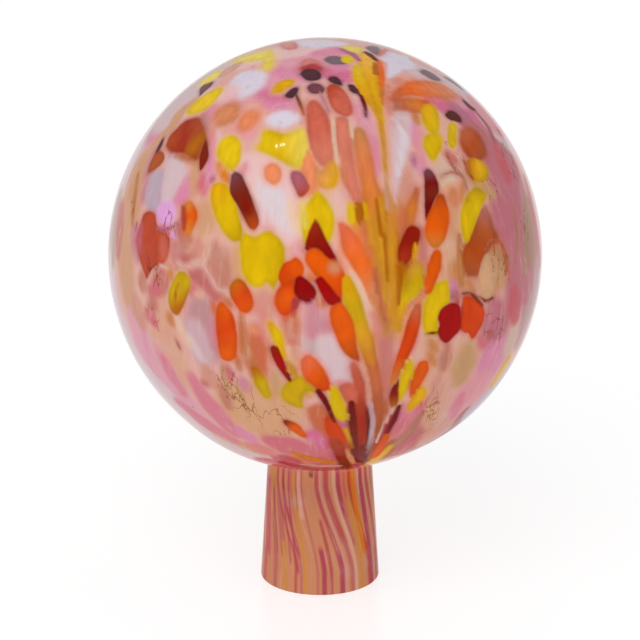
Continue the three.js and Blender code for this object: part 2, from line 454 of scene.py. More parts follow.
# The chips: those of a later list lie over those of an earlier one.
LOW_CHIPS = [
    ("pale_yellow", [(232, 61), (238, 57), (250, 54), (262, 51), (271, 51), (273, 60), (272, 67), (267, 70),
        (263, 66), (264, 60), (250, 61), (240, 62)], None, 3),
    ("coral_pink", [(302, 66), (302, 62), (305, 60), (310, 59), (315, 60), (319, 63), (320, 68)],
        None, 2.5),
    ("salmon", [(219, 122), (227, 114), (235, 106)], (12, 17, 10), 4.5),
    ("bright_salmon", [(243, 129), (249, 119), (255, 112)], (12, 15, 8), 4),
    (("coral", "coral", "soft_coral"), [(307, 108), (310, 102), (316, 101), (322, 107), (328, 118),
        (332, 134), (334, 150), (331, 164), (323, 166), (314, 156), (309, 140), (307, 122)], None, 2.5),
    ("soft_coral", [(336, 118), (346, 118), (350, 130), (352, 150), (355, 170), (361, 192), (361, 200),
        (354, 201), (348, 190), (342, 176), (339, 158), (336, 136)], None, 2.5),
    (("tan_brown", "orange_salmon", "orange_tan", "gold_tan"), [(353, 131), (357, 128), (363, 130),
        (368, 141), (372, 158), (375, 176), (380, 192), (384, 210), (388, 232), (390, 252), (380, 262),
        (370, 250), (364, 232), (362, 212), (362, 190), (358, 172), (355, 152)], None, 2.5),
    (("brown_coral", "bright_orange", "orange_salmon", "salmon"), [(391, 99), (394, 92), (402, 86),
        (410, 82), (424, 81), (438, 83), (448, 88), (457, 96), (448, 99), (436, 97), (424, 97), (410, 95),
        (400, 99), (396, 104)], None, 3.5),
    (("brown_rose", "brown_coral", "orange_tan", "orange"), [(393, 110), (396, 101), (404, 98), (416, 99),
        (427, 101), (428, 106), (424, 112), (414, 112), (404, 110)], None, 3),
    (("rust", "oxblood", "cinnamon"), [(166, 146), (170, 136), (178, 128), (186, 121), (198, 118),
        (203, 126), (206, 138), (203, 150), (196, 160), (186, 153), (172, 152)], None, 2.5),
    ("bright_salmon", [(305, 150), (309, 170), (312, 194)], (10, 16, 10), 3),
    (("brown_coral", "rust", "cinnamon"), [(461, 130), (468, 127), (476, 131), (483, 142), (486, 154),
        (480, 160), (472, 159), (465, 153), (460, 143)], None, 3),
    ("brick", [(143, 215), (148, 212), (155, 214), (157, 226), (168, 236), (169, 247), (164, 262),
        (152, 269), (147, 278), (144, 272), (141, 262), (138, 248), (138, 238), (141, 225)], None, 1.6),
    (("gold", "yellow", "olive"), [(211, 190), (214, 184), (221, 183), (228, 187), (232, 195), (236, 205),
        (239, 218), (242, 231), (240, 239), (235, 241), (229, 238), (222, 229), (216, 217), (212, 204)],
        None, 1.6),
    (("yellow", "yellow", "olive"), [(241, 256), (240, 244), (243, 236), (247, 234), (255, 238), (263, 233),
        (270, 232), (278, 238), (284, 248), (284, 262), (281, 274), (276, 284), (272, 289), (268, 281),
        (262, 286), (253, 286), (246, 280), (242, 268)], None, 1.8),
    ("yellow", [(317, 191), (324, 197), (330, 207), (334, 220), (332, 234), (327, 242), (318, 232),
        (311, 236), (306, 244), (303, 232), (303, 216), (307, 205), (312, 197)], None, 2),
    (("orange", "orange", "deep_orange"), [(306, 254), (312, 248), (320, 249), (328, 256), (338, 264),
        (345, 276), (343, 292), (340, 300), (330, 288), (318, 278), (311, 270), (306, 262)], None, 1.8),
    (("orange_tan", "tan_brown"), [(374, 240), (376, 270), (381, 305), (387, 332)], (12, 12, 8, 3), 2.5),
    (("coral", "brick"), [(353, 362), (359, 382), (363, 404)], (7, 10, 6), 2.5),
    (("rose_brown", "cinnamon", "rust", "cinnamon"), [(485, 205), (490, 214), (494, 228), (498, 240),
        (490, 246), (486, 256), (484, 268), (476, 276), (467, 274), (463, 262), (463, 250), (468, 240),
        (474, 226), (480, 212)], None, 3),
    (("brown_coral", "orange_tan", "brown_coral"), [(418, 188), (412, 208), (406, 238)], (4, 10, 7), 2.5),
    (("dark_wine", "blood_brown", "brown_ochre"), [(398, 380), (400, 390), (398, 401), (394, 409),
        (390, 403), (390, 395), (393, 387)], None, 1.4),
    ("tan_brown", [(459, 234), (460, 262), (462, 286)], 5, 2),
    (("brown_ochre", "brown_coral", "cinnamon"), [(364, 334), (370, 356), (376, 382), (378, 408),
        (377, 440)], (12, 11, 10, 9, 6), 2),
    (("brown_ochre", "gold", "gold_tan"), [(404, 262), (404, 285), (401, 306), (398, 332)],
        (10, 9, 8, 4), 2.2),
    ("yellow", [(434, 284), (440, 282), (449, 282), (450, 292), (449, 302), (441, 309), (438, 319),
        (438, 328), (440, 334), (432, 334), (425, 332), (423, 324), (423, 312), (426, 300), (431, 291)],
        None, 1.6),
    ("olive", [(281, 395), (284, 386), (290, 380), (297, 376), (303, 378), (310, 385), (319, 392),
        (306, 391), (302, 400), (302, 408), (295, 406), (286, 402)], None, 1.8),
    (("gold", "yellow", "gold"), [(269, 322), (277, 336), (284, 360)], (5, 10, 5), 1.8),
    ("coral", [(338, 388), (344, 384), (352, 384), (358, 392), (359, 404), (350, 404), (343, 398)],
        None, 3),
    (("brick", "oxblood", "oxblood", "blood_brown"), [(359, 392), (361, 418), (361, 442), (356, 465)],
        (9, 15, 15, 10), 2),
    ("deep_orange", [(325, 419), (330, 416), (337, 423), (343, 433), (346, 442), (338, 443), (330, 437),
        (326, 430)], None, 1.5),
    (("orchid", "mauve_rose"), [(451, 283), (454, 298)], (9, 9), 2.5),
    ("salmon", [(453, 189), (454, 206)], 9, 3),
    (("rust", "cinnamon"), [(157, 150), (163, 153), (164, 159), (159, 166), (153, 170), (148, 173),
        (150, 164)], None, 1.4),
    ("yellow", [(424, 138), (430, 134), (439, 134), (442, 144), (438, 154), (433, 161), (428, 154),
        (424, 146)], None, 1.6),
    (("gold_tan", "ochre"), [(381, 236), (383, 262), (386, 300)], (8, 8, 5), 2.2),
    ("brown_rose", [(420, 415), (411, 431), (398, 443), (388, 450)], (2.5, 5, 5, 3), 1.8),
    ("cinnamon", [(376, 440), (372, 452), (368, 464)], (2, 5, 4), 2),
    ("russet", [(393, 440), (385, 451), (377, 461)], (3, 7, 4), 2),
    (("gold_tan", "tan"), [(381, 118), (384, 145), (386, 175), (388, 210)], (2, 2, 2.5, 3.5), 1.8),
    ("brown_ochre", [(384, 208), (385, 236)], 4, 2),
]

CHIPS = [
    ("peach_tan", [(482, 262), (486, 254), (492, 255), (495, 265), (496, 280), (494, 292), (489, 300),
        (483, 298), (480, 290), (479, 275)], None, 1.6),
    ("peach", [(222, 75), (238, 64)], 5, 2),
    ("coral_pink", [(279, 44), (285, 42), (294, 42), (297, 46), (295, 49), (285, 49)], None, 1.8),
    ("crimson", [(302, 69), (312, 67), (321, 69)], 5.5, 3),
    ("lemon", [(191, 110), (204, 102), (218, 91)], (7, 12, 7), 1.8),
    ("pale_yellow", [(203, 82), (210, 78), (218, 75)], (3, 6, 3), 1.6),
    ("gold", [(272, 93), (274, 87), (280, 82), (287, 80), (294, 80), (293, 84), (287, 88), (281, 92)],
        None, 1.6),
    (("lemon", "yellow", "pale_yellow"), [(256, 148), (262, 140), (263, 132), (271, 131), (282, 134),
        (292, 133), (302, 129), (306, 140), (304, 150), (301, 165), (296, 167), (289, 165), (277, 158),
        (264, 152)], None, 2.2),
    (("salmon", "gold"), [(315, 168), (321, 172), (329, 162), (336, 164), (338, 176), (335, 186),
        (325, 188), (317, 183)], None, 2.5),
    (("marigold", "gold", "gold"), [(357, 58), (362, 53), (369, 54), (375, 62), (379, 75), (380, 92),
        (381, 108), (383, 122), (378, 118), (373, 105), (368, 90), (362, 74)], None, 2),
    (("bright_orange", "bright_orange", "orange_tan"), [(376, 70), (377, 62), (381, 62), (384, 75),
        (384, 90), (383, 106), (380, 100), (378, 86)], None, 1.8),
    (("gold", "gold_tan", "ochre"), [(378, 100), (380, 118), (383, 142), (385, 170)], (7, 4, 2, 2), 1.8),
    (("brick", "coral", "coral"), [(327, 93), (328, 87), (334, 84), (341, 88), (347, 95), (351, 104),
        (352, 112), (347, 116), (340, 114), (334, 110), (330, 102)], None, 1.8),
    (("gold", "yellow"), [(421, 109), (426, 104), (434, 106), (438, 114), (439, 125), (437, 132),
        (430, 132), (424, 124)], None, 1.6),
    ("yellow", [(449, 124), (455, 124), (456, 134), (455, 146), (450, 148), (448, 138)], None, 1.4),
    ("bright_salmon", [(265, 168), (270, 164), (277, 165), (281, 171), (280, 179), (275, 184), (269, 182),
        (265, 176)], None, 2),
    ("lemon", [(217, 156), (219, 145), (225, 138), (233, 136), (240, 143), (240, 157), (236, 166),
        (230, 169), (223, 162)], None, 1.8),
    (("orange_tan", "orange", "orange_tan"), [(188, 202), (190, 216), (187, 234)], (8, 14, 8), 1.8),
    (("wine_grey", "maroon", "maroon", "rust"), [(232, 175), (236, 172), (241, 175), (245, 183), (250, 195),
        (254, 206), (258, 218), (258, 225), (253, 230), (249, 227), (245, 219), (239, 207), (234, 199),
        (230, 191)], None, 1.2),
    (("mulberry", "mulberry", "brick"), [(292, 172), (300, 172), (307, 182), (309, 188), (305, 194),
        (300, 197), (295, 188), (291, 178)], None, 1.4),
    (("oxblood", "blood_brown", "garnet"), [(316, 218), (321, 229), (327, 242), (334, 254), (337, 263),
        (327, 256), (316, 247), (306, 251), (306, 244), (309, 232)], None, 1.5),
    ("blood", [(315, 280), (321, 277), (328, 284), (336, 295), (342, 300), (338, 305), (330, 305),
        (322, 295)], None, 1.5),
    (("brown_ochre", "deep_orange", "orange"), [(232, 283), (237, 279), (243, 281), (248, 288), (252, 297),
        (253, 306), (249, 312), (242, 312), (236, 305), (231, 296), (230, 288)], None, 1.5),
    (("orange", "deep_orange", "orange"), [(217, 307), (221, 302), (227, 307), (233, 316), (236, 330),
        (237, 345), (235, 357), (228, 361), (221, 357), (218, 342), (216, 322)], None, 1.6),
    (("deep_orange", "orange"), [(280, 272), (284, 264), (290, 261), (296, 258), (302, 263), (304, 270),
        (301, 277), (292, 281), (285, 286), (279, 280)], None, 1.4),
    (("deep_orange", "orange", "deep_orange"), [(284, 283), (291, 282), (297, 285), (297, 296), (293, 309),
        (287, 315), (281, 314), (276, 306), (275, 297), (279, 288)], None, 1.8),
    (("blood_brown", "blood", "blood_brown"), [(273, 346), (280, 363), (291, 382)], (8, 8, 3), 1.3),
    (("brown_ochre", "olive", "olive"), [(254, 367), (261, 383), (268, 398)], (5, 11, 7), 1.6),
    ("ochre", [(288, 362), (297, 378)], 6, 2.5),
    (("bright_coral", "orange", "deep_orange"), [(301, 360), (308, 355), (317, 361), (326, 374), (330, 388),
        (322, 391), (311, 384), (303, 375)], None, 2),
    (("deep_rust", "orange", "orange"), [(285, 421), (294, 427), (305, 437)], (4, 8, 4), 1.3),
    ("yellow", [(330, 389), (336, 387), (341, 396), (346, 410), (346, 419), (340, 420), (334, 414),
        (330, 402)], None, 1.6),
    (("dark_wine", "maroon", "dark_wine"), [(351, 400), (353, 424), (355, 448), (357, 464)],
        (5, 7, 6, 5), 1.6),
    (("maroon", "black_brown", "maroon"), [(366, 406), (369, 424), (368, 444), (363, 462)],
        (1.5, 3, 3, 2), 1.4),
    ("yellow", [(405, 366), (410, 360), (413, 365), (412, 376), (407, 388), (400, 401), (399, 392),
        (401, 378)], None, 1.6),
    ("orange", [(420, 362), (427, 361), (428, 370), (422, 382), (415, 393), (411, 397), (410, 386),
        (414, 373)], None, 1.5),
    ("gold", [(420, 387), (425, 388), (425, 397), (418, 404), (410, 411), (408, 406), (413, 396)],
        None, 1.5),
    (("dark_wine", "dark_wine", "crimson"), [(400, 405), (393, 420), (384, 436), (375, 454)],
        (3, 5, 4, 2), 1.4),
    ("gold", [(392, 445), (382, 454), (371, 464)], (2, 3.5, 2), 1.4),
    (("brown_coral", "deep_orange", "deep_orange", "orange_tan"), [(418, 304), (414, 322), (408, 343),
        (400, 363), (392, 384)], (6, 12, 12, 9, 4), 1.6),
    ("orange", [(438, 251), (434, 268), (427, 293)], (9, 13, 8), 1.6),
    ("blood", [(438, 318), (441, 310), (447, 305), (455, 303), (460, 307), (461, 318), (460, 329),
        (455, 335), (449, 341), (445, 343), (440, 338), (438, 331), (440, 325)], None, 1.4),
    ("deep_orange", [(463, 297), (470, 296), (478, 302), (484, 310), (483, 321), (478, 331), (473, 339),
        (468, 332), (462, 330)], None, 1.4),
    (("ochre", "olive", "yellow"), [(408, 270), (413, 264), (419, 262), (423, 270), (423, 281), (420, 291),
        (413, 298), (405, 303), (401, 308), (403, 294), (406, 282)], None, 1.8),
    (("blood_brown", "blood_brown", "oxblood"), [(407, 229), (412, 226), (418, 228), (420, 233), (418, 243),
        (412, 256), (406, 264), (400, 264), (398, 252), (402, 240)], None, 1.5),
    (("wine_grey", "dark_wine", "maroon", "dark_wine"), [(424, 172), (428, 169), (433, 173), (438, 184),
        (438, 193), (434, 201), (431, 210), (430, 219), (426, 219), (425, 205), (425, 187)], None, 1.3),
    (("brown_ochre", "gold", "olive"), [(467, 161), (472, 158), (478, 160), (484, 164), (488, 171),
        (487, 178), (480, 182), (474, 179), (469, 171)], None, 1.5),
    (("olive", "yellow", "yellow"), [(469, 193), (475, 188), (481, 190), (486, 196), (482, 205), (477, 218),
        (472, 232), (467, 243), (463, 235), (461, 221), (463, 206)], None, 1.5),
    (("bright_coral", "bright_orange", "salmon"), [(339, 224), (344, 224), (352, 231), (361, 242),
        (368, 256), (372, 272), (374, 290), (376, 306), (370, 300), (364, 284), (356, 272), (350, 262),
        (344, 252), (341, 240)], None, 2.4),
    (("gold", "olive", "gold_tan", "orange_tan"), [(343, 279), (348, 275), (354, 284), (360, 298),
        (365, 316), (371, 335), (374, 352), (374, 366), (367, 362), (361, 350), (355, 336), (349, 320),
        (345, 306), (343, 291)], None, 1.8),
    ("brown_ochre", [(383, 222), (386, 248), (388, 282)], (2, 3, 2), 1.8),
    ("brown_ochre", [(376, 198), (379, 216), (380, 236)], (2, 3, 2), 1.8),
    ("lemon", [(353, 204), (351, 222)], (8, 6), 2),
    ("gold", [(364, 203), (366, 220)], (5, 4), 1.8),
    (("brick", "oxblood", "maroon"), [(329, 438), (338, 440), (344, 447), (348, 460), (351, 469),
        (343, 469), (335, 455)], None, 2.2),
    ("black_brown", [(445, 115), (449, 111), (455, 112), (460, 117), (461, 122), (455, 121), (449, 119)],
        None, 1.2),
    ("black_brown", [(464, 101), (469, 106), (475, 110)], (1.5, 2.6, 1.5), 1.2),
    ("soot", [(423, 73), (430, 75), (437, 78)], (3, 5.5, 3), 1.4),
    ("soot", [(328, 59), (335, 60), (344, 62)], (5, 8, 5), 1.4),
    ("wine_grey", [(200, 96), (200, 89), (205, 84), (213, 82), (211, 86), (205, 91)], None, 1.2),
    (("maroon", "maroon", "blood_brown"), [(206, 139), (208, 148), (208, 158), (204, 166), (200, 170),
        (200, 158), (202, 150)], None, 1.3),
    (("olive", "olive", "brown_ochre"), [(174, 280), (178, 273), (184, 272), (189, 278), (190, 287),
        (186, 298), (181, 310), (177, 315), (172, 311), (169, 303), (169, 293)], None, 1.3),
]

TOP_CHIPS = [
    (("orange", "orange", "rust"), [(331, 307), (340, 303), (346, 309), (352, 320), (355, 333), (356, 345),
        (359, 361), (352, 358), (344, 352), (338, 340), (333, 328), (330, 315)], None, 1.6),
    ("night", [(300, 74), (304, 70), (312, 69), (319, 72), (321, 77), (317, 80), (307, 80)], None, 1.4),
    ("wine_grey", [(307, 88), (311, 84), (319, 84), (323, 87), (324, 91), (320, 93), (311, 93)], None, 1.4),
    ("night", [(285, 95), (288, 92), (294, 88), (298, 88), (297, 93), (294, 97), (290, 98), (286, 97)],
        None, 1.4),
    (("black_brown", "brown_coral"), [(296, 94), (300, 104), (304, 115)], 3, 1.3),
    ("night", [(348, 85), (353, 85), (358, 89), (359, 93), (354, 93), (350, 90)], None, 1.3),
    (("wine_grey", "dark_wine", "wine_grey"), [(356, 88), (361, 96), (365, 106), (366, 117)],
        (4, 3, 3, 2), 1.3),
    ("night", [(328, 79), (331, 77), (336, 77), (340, 80), (342, 85), (336, 84), (331, 82)], None, 1.4),
    (("lemon", "gold", "gold_tan"), [(353, 67), (357, 65), (362, 70), (366, 80), (371, 92), (376, 106),
        (378, 116), (372, 108), (364, 99), (358, 90), (354, 80)], None, 1.6),
    ("brown_ochre", [(375, 62), (376, 76)], (3, 5), 1.8),
    ("lemon", [(341, 59), (345, 56), (351, 56), (354, 60), (349, 63), (343, 62)], None, 1.4),
    ("pale_yellow", [(348, 47), (357, 51)], 6, 2),
    ("mauve", [(342, 49), (352, 54), (360, 61)], (2.5, 3, 2), 1.4),
    ("soot", [(366, 48), (370, 46), (378, 47), (378, 55), (375, 54), (370, 51)], None, 1.2),
    ("black_brown", [(365, 52), (370, 55), (377, 61)], 2.5, 1.2),
    ("coral_pink", [(378, 57), (380, 51), (387, 49), (384, 54)], None, 2),
    ("soot", [(446, 78), (453, 82), (461, 88)], 1.8, 1.2),
    ("cream", [(333, 118), (334, 140), (338, 165)], 3, 1.5),
    ("cream", [(351, 118), (352, 138)], 3, 1.5),
    ("salmon", [(343, 156), (346, 182)], 3, 2),
    ("brown_ochre", [(190, 152), (196, 142), (202, 136)], (9, 9, 4), 4),
    ("crimson_rose", [(142, 226), (139, 240), (140, 252)], 5, 3),
    ("coral", [(163, 238), (164, 258)], 9, 4),
    ("pale_yellow", [(303, 140), (303, 156)], 5, 3),
    ("pale_yellow", [(303, 206), (305, 228)], 4, 3),
    ("mauve_pink", [(319, 91), (323, 99), (329, 112)], 2.6, 1.6),
    ("maroon", [(362, 444), (364, 464)], 7, 2),
    ("brick", [(183, 206), (184, 230)], 4, 2.5),
    ("blood_brown", [(243, 198), (250, 214)], 6, 3),
    ("salmon", [(332, 264), (337, 272)], 10, 4),
    ("garnet", [(295, 280), (300, 276), (307, 280), (313, 286), (316, 293), (313, 300), (306, 302),
        (300, 299), (295, 294)], None, 1.5),
    ("crimson", [(297, 298), (295, 305), (292, 312)], (7, 6, 2), 1.8),
    ("mauve", [(303, 303), (313, 302)], 3, 1.5),
    ("dark_wine", [(317, 389), (326, 403), (335, 423)], (5, 5, 2), 1.4),
    ("brown_ochre", [(355, 203), (361, 202), (363, 211), (362, 222), (357, 221)], None, 1.6),
    ("cream", [(352, 271), (361, 288), (370, 309)], 2.6, 1.5),
    ("salmon", [(372, 284), (376, 302)], 4.5, 2),
    ("brown_ochre", [(402, 262), (400, 284), (398, 306)], (4, 4, 2.5), 1.5),
    ("gold_tan", [(371, 212), (376, 240), (380, 272)], (2, 3.5, 2), 1.8),
    ("gold_tan", [(380, 196), (383, 214), (385, 232)], (2, 3, 2), 1.8),
    ("gold_tan", [(392, 236), (392, 258), (393, 286)], (2, 3, 2), 1.8),
    ("brown_coral", [(374, 268), (379, 296), (385, 322)], (2, 3, 2), 1.8),
    ("gold_tan", [(394, 284), (394, 306), (392, 326)], (2, 3.5, 2), 2),
    ("orange_salmon", [(356, 205), (364, 232), (368, 256)], (2, 5, 3), 2.5),
    ("gold", [(416, 243), (414, 258)], 4, 1.5),
    (("rust", "orange", "orange", "orange_tan"), [(437, 195), (443, 195), (447, 206), (449, 217),
        (447, 231), (442, 243), (435, 248), (428, 242), (425, 231), (428, 217), (433, 206)], None, 1.6),
    ("gold", [(508, 359), (503, 369), (494, 383)], (3, 4, 3), 2),
    (("gold", "ochre", "brown_ochre"), [(345, 428), (349, 438), (353, 449)], (2.5, 3, 1.5), 1.4),
    ("crimson_rose", [(283, 457), (298, 464)], 5, 2),
    ("orange_tan", [(292, 452), (312, 459), (334, 463)], (2, 3.5, 2), 1.6),
    ("tan_rose", [(300, 464), (322, 466), (340, 466)], 2, 1.4),
    ("crimson", [(280, 462), (300, 467), (314, 470)], 2.5, 1.5),
    ("crimson", [(393, 413), (386, 426), (380, 438)], 2, 1.5),
    ("orange", [(387, 434), (381, 447), (374, 458)], (4, 5, 2), 1.5),
    (("lilac_rose", "lilac_rose", "wine_grey"), [(371, 402), (373, 422), (370, 442), (366, 456)],
        (2, 4, 3, 1.5), 1.4),
    ("cream_pink", [(395, 406), (385, 423), (376, 443)], 1.8, 1.2),
    ("salmon", [(346, 449), (350, 457), (354, 464)], (1.5, 3.5, 2), 1.4),
    ("cream_pink", [(149, 282), (152, 273), (159, 266), (168, 267)], 1.8, 1.4),
    ("cream_pink", [(177, 262), (183, 267), (194, 265), (203, 262), (208, 252), (212, 238)], 2.6, 1.5),
    ("cream_pink", [(204, 266), (211, 278), (218, 289), (229, 293)], 1.8, 1.4),
    ("cream", [(176, 317), (182, 330), (190, 346)], 3, 1.5),
    ("salmon", [(426, 288), (416, 299), (408, 308), (402, 321)], 2.4, 1.5),
    ("brown_ochre", [(178, 283), (174, 302)], 2.2, 1.4),
    ("black_brown", [(163, 139), (160, 146), (157, 152)], 2.5, 1.3),
    ("tan_brown", [(138, 174), (135, 195), (132, 224)], 2.5, 1.5),
    ("brown_coral", [(484, 252), (490, 241), (500, 242), (505, 254), (507, 272)], 2.5, 1.3),
    ("deep_rust", [(479, 297), (487, 301), (494, 297)], 2.5, 1.3),
    ("deep_rust", [(462, 294), (471, 294), (479, 301), (483, 307)], 2.8, 1.4),
    ("olive", [(468, 197), (467, 203)], 3, 1.5),
    ("crimson_rose", [(525, 178), (532, 205), (537, 236), (540, 262)], 3, 1.5),
    ("deep_rust", [(426, 333), (440, 333)], 2.2, 1.3),
    ("rose_brown", [(176, 339), (180, 349)], 2.4, 1.4),
    ("mulberry", [(438, 438), (452, 428), (462, 414), (468, 408)], 2.2, 1.4),
    ("mulberry", [(476, 112), (488, 127), (495, 143)], 2.2, 1.4),
    ("brown_rose", [(470, 121), (482, 131), (490, 145)], 2.2, 1.4),
    ("rose_brown", [(446, 150), (450, 161), (457, 172)], 2.2, 1.4),
    ("brown_rose", [(440, 177), (452, 172), (463, 177), (467, 190)], 2.4, 1.5),
    ("cinnamon", [(464, 160), (468, 172), (474, 180)], 2.2, 1.4),
    ("brown_rose", [(514, 206), (517, 236), (515, 266)], 2.2, 1.4),
    ("khaki", [(222, 362), (224, 378), (230, 390)], 2.4, 1.4),
    ("khaki", [(234, 384), (242, 396), (247, 412)], 2.4, 1.4),
    ("mauve", [(156, 228), (164, 230), (172, 227), (180, 220)], 2.2, 1.4),
]
CHIP_LAYERS = [LOW_CHIPS, CHIPS, TOP_CHIPS]

# Where fine cracks and ripples show in the glass: path, width and softness, in photograph pixels.
CRACKED = [
    ([(168, 208), (170, 236)], 18, 5),
    ([(130, 200), (140, 235)], 8, 4),
    ([(146, 262), (160, 285)], 16, 6),
    ([(150, 310), (158, 330)], 14, 6),
    ([(220, 372), (245, 400), (275, 418), (288, 435)], 30, 8),
    ([(448, 140), (458, 172)], 16, 7),
    ([(484, 182), (498, 200)], 18, 7),
    ([(496, 240), (505, 285)], 18, 6),
    ([(522, 205), (529, 262)], 9, 4),
    ([(490, 300), (498, 345)], 20, 8),
    ([(430, 385), (432, 425)], 18, 6),
    ([(500, 134), (514, 175)], 9, 4),
]

# The neck's stripes are drawn out straight under the ball, then turn to the right. Each is: glass, pixel
# column above the turn and below it, width in pixels, and the pixel rows from which to which it shows.
NECK_ROWS = (455, 600)
NECK_TOP_ROW = 482
NECK_BOTTOM_ROW = 577
NECK_STRIPES = [
    ("crimson_rose", 269, 267, 12, (488, 566)),
    ("neck_crimson", 274, 277, 2.5, (484, 560)),
    ("crimson_rose", 266, 265, 3, (560, 600)),
    ("dusky_rose", 273, 275.5, 4, (520, 600)),
    ("neck_ochre", 273.5, 270, 3, (455, 496)),
    ("dusky_rose", 279, 284, 6, (498, 560)),
    ("neck_ochre", 279, 285, 4, (545, 600)),
    ("neck_crimson", 283, 291, 2, (486, 566)),
    ("neck_crimson", 277.5, 298, 3, (455, 575)),
    ("magenta", 283, 302, 3.5, (455, 560)),
    ("dusky_rose", 283, 302, 3, (555, 600)),
    ("neck_crimson", 288.5, 296, 2.5, (458, 600)),
    ("dusky_rose", 290, 308, 3.5, (455, 540)),
    ("magenta", 296, 303.5, 2, (455, 512)),
    ("neck_ochre", 293, 305.5, 4, NECK_ROWS),
    # this peach stripe is widened to lighten the neck's top: partly the glass's stripe, partly painted light
    # against the ball's shade
    ("peach", 298.5, 310, 5, (455, 520)),
    ("dusky_rose", 301, 318, 2.5, NECK_ROWS),
    ("neck_crimson", 316.5, 342.5, 4.5, (455, 560)),
    ("magenta", 316.5, 342.5, 5, (555, 600)),
    ("magenta", 308, 324.5, 5, (548, 600)),
    ("neck_crimson", 314, 331.5, 3.5, (520, 600)),
    ("tan_rose", 320, 347, 3, NECK_ROWS),
    ("neck_crimson", 325.5, 352.5, 5.5, (455, 545)),
    ("dusky_rose", 325.5, 352.5, 4, (540, 600)),
    ("peach", 333.5, 356.5, 3, NECK_ROWS),
    ("magenta", 338, 360, 4, (455, 520)),
    ("dusky_rose", 338, 360, 3, (515, 550)),
    ("coral", 343.5, 363, 3, (455, 540)),
    ("neck_ochre", 345.5, 362, 4, (500, 600)),
    ("brick", 349, 369.5, 3, NECK_ROWS),
    ("amber", 352.5, 366, 3.5, (455, 560)),
    ("peach", 358, 371, 2, (455, 500)),
    ("magenta", 360.5, 371.5, 3.5, NECK_ROWS),
    ("neck_ochre", 366, 374, 3, (455, 520)),
    ("neck_tan", 372, 376, 3.5, (455, 565)),
    ("black_brown", 311, 311, 4.5, (468, 477)),
    ("magenta", 372, 377, 2.5, (560, 600)),
]
STRIPE_TURN = (486, 572)  # the pixel rows between which the stripes turn
STRIPE_STRENGTH = 0.92
TURN_ROUNDING = 0.5  # how far the turn eases in and out: 0 turns evenly
NECK_TWIST = 0.42  # how far the streaks of the neck turn, in radians
NECK_TOP_PAINTED_LIGHT = 0.3  # how much lighter the neck is painted just under the ball, as a share: painted light against the shade that the ball casts there
NECK_TOP_LIGHT_OVER = 9.0  # the height over which that fades


def smoothstep(x, low, high):
    t = np.clip((x - low) / (high - low), 0, 1)
    return t * t * (3 - 2 * t)


def sideways(z):
    """How far the glass at a height stands towards -X, because the neck isn't quite in line with the ball."""
    return NECK_SHIFT * (1 - smoothstep(z, CREASE_HEIGHT, CREASE_HEIGHT + SHIFT_FADES_OVER))


def sights(pixels):
    """The unit directions from the eye through pixels of the photograph."""
    offset = (np.atleast_2d(pixels) - PHOTO_SIZE / 2) / FOCAL_PIXELS
    lines = FORWARD + offset[:, :1] * RIGHT - offset[:, 1:] * UP
    return lines / np.linalg.norm(lines, axis=1, keepdims=True)


# Where a line of sight meets the glass depends on the height there, so it is found in a few rounds.
BALL_ROUNDS = 3
NECK_ROUNDS = 6


def on_ball(pixels):
    """The points of the ball that pixels of the photograph show, before its underside is shifted."""
    lines = sights(pixels)
    shift = np.zeros(len(lines))
    for _ in range(BALL_ROUNDS):
        start = EYE - BALL_CENTRE + shift[:, None] * np.array([1.0, 0.0, 0.0])
        along = np.sum(start * lines, axis=1)
        inside = along**2 - np.sum(start**2, axis=1) + BALL_RADIUS**2
        hit = start + (-along - np.sqrt(np.maximum(inside, 0)))[:, None] * lines
        hit *= BALL_RADIUS / np.linalg.norm(hit, axis=1, keepdims=True)
        shift = sideways(hit[:, 2] + BALL_CENTRE[2])
    return hit


def neck_radius(z):
    return NECK_RIM_RADIUS + (NECK_TOP_RADIUS - NECK_RIM_RADIUS) * z / CREASE_HEIGHT


def on_neck(pixels):
    """The angles round the neck, from its front, and the heights that pixels of the photograph show."""
    lines = sights(pixels)
    axis = np.array([-NECK_SHIFT, 0.0])
    z = np.full(len(lines), NECK_HEIGHT / 2)
    for _ in range(NECK_ROUNDS):
        start = EYE[:2] - axis
        a = np.sum(lines[:, :2] ** 2, axis=1)
        b = lines[:, :2] @ start
        inside = b**2 - a * (start @ start - neck_radius(z) ** 2)
        t = (-b - np.sqrt(np.maximum(inside, 0))) / a
        z = EYE[2] + t * lines[:, 2]
    spot = start + t[:, None] * lines[:, :2]
    return np.arctan2(spot[:, 0], -spot[:, 1]), z


def below_turn(z):
    """0 above the neck's twist, 1 below it."""
    _, turn = on_neck([(PHOTO_SIZE / 2, STRIPE_TURN[0]), (PHOTO_SIZE / 2, STRIPE_TURN[1])])
    share = np.clip((turn[0] - z) / (turn[0] - turn[1]), 0, 1)
    return share + (smoothstep(share, 0, 1) - share) * TURN_ROUNDING


def smooth_path(points, steps=6):
    """Points along a smooth curve through the given ones, and how far along the path each is."""
    points = np.array(points, float)
    padded = np.vstack([2 * points[0] - points[1], points, 2 * points[-1] - points[-2]])
    spans = len(points) - 1
    out = []
    for k in range(spans):
        p0, p1, p2, p3 = padded[k : k + 4]
        for t in np.arange(steps) / steps:
            curve = 2 * p1 + (p2 - p0) * t + (2 * p0 - 5 * p1 + 4 * p2 - p3) * t**2
            curve += (3 * p1 - p0 - 3 * p2 + p3) * t**3
            out.append(curve / 2)
    out.append(points[-1])
    return np.array(out), np.linspace(0, 1, spans * steps + 1)


def along(values, t):
    """Values spread evenly over a path, read at t from 0 to 1."""
    values = np.atleast_2d(np.array(values, float).T).T
    places = np.linspace(0, 1, len(values))
    if len(values) == 1:
        return np.repeat(values, len(t), axis=0)
    return np.stack([np.interp(t, places, column) for column in values.T], axis=1)


def glass_colours(glass):
    names = (glass,) if isinstance(glass, str) else glass
    return np.array([linear(name) for name in names])


def near(points, middle, reach):
    return np.nonzero(np.sum((points - middle) ** 2, axis=1) < reach**2)[0]


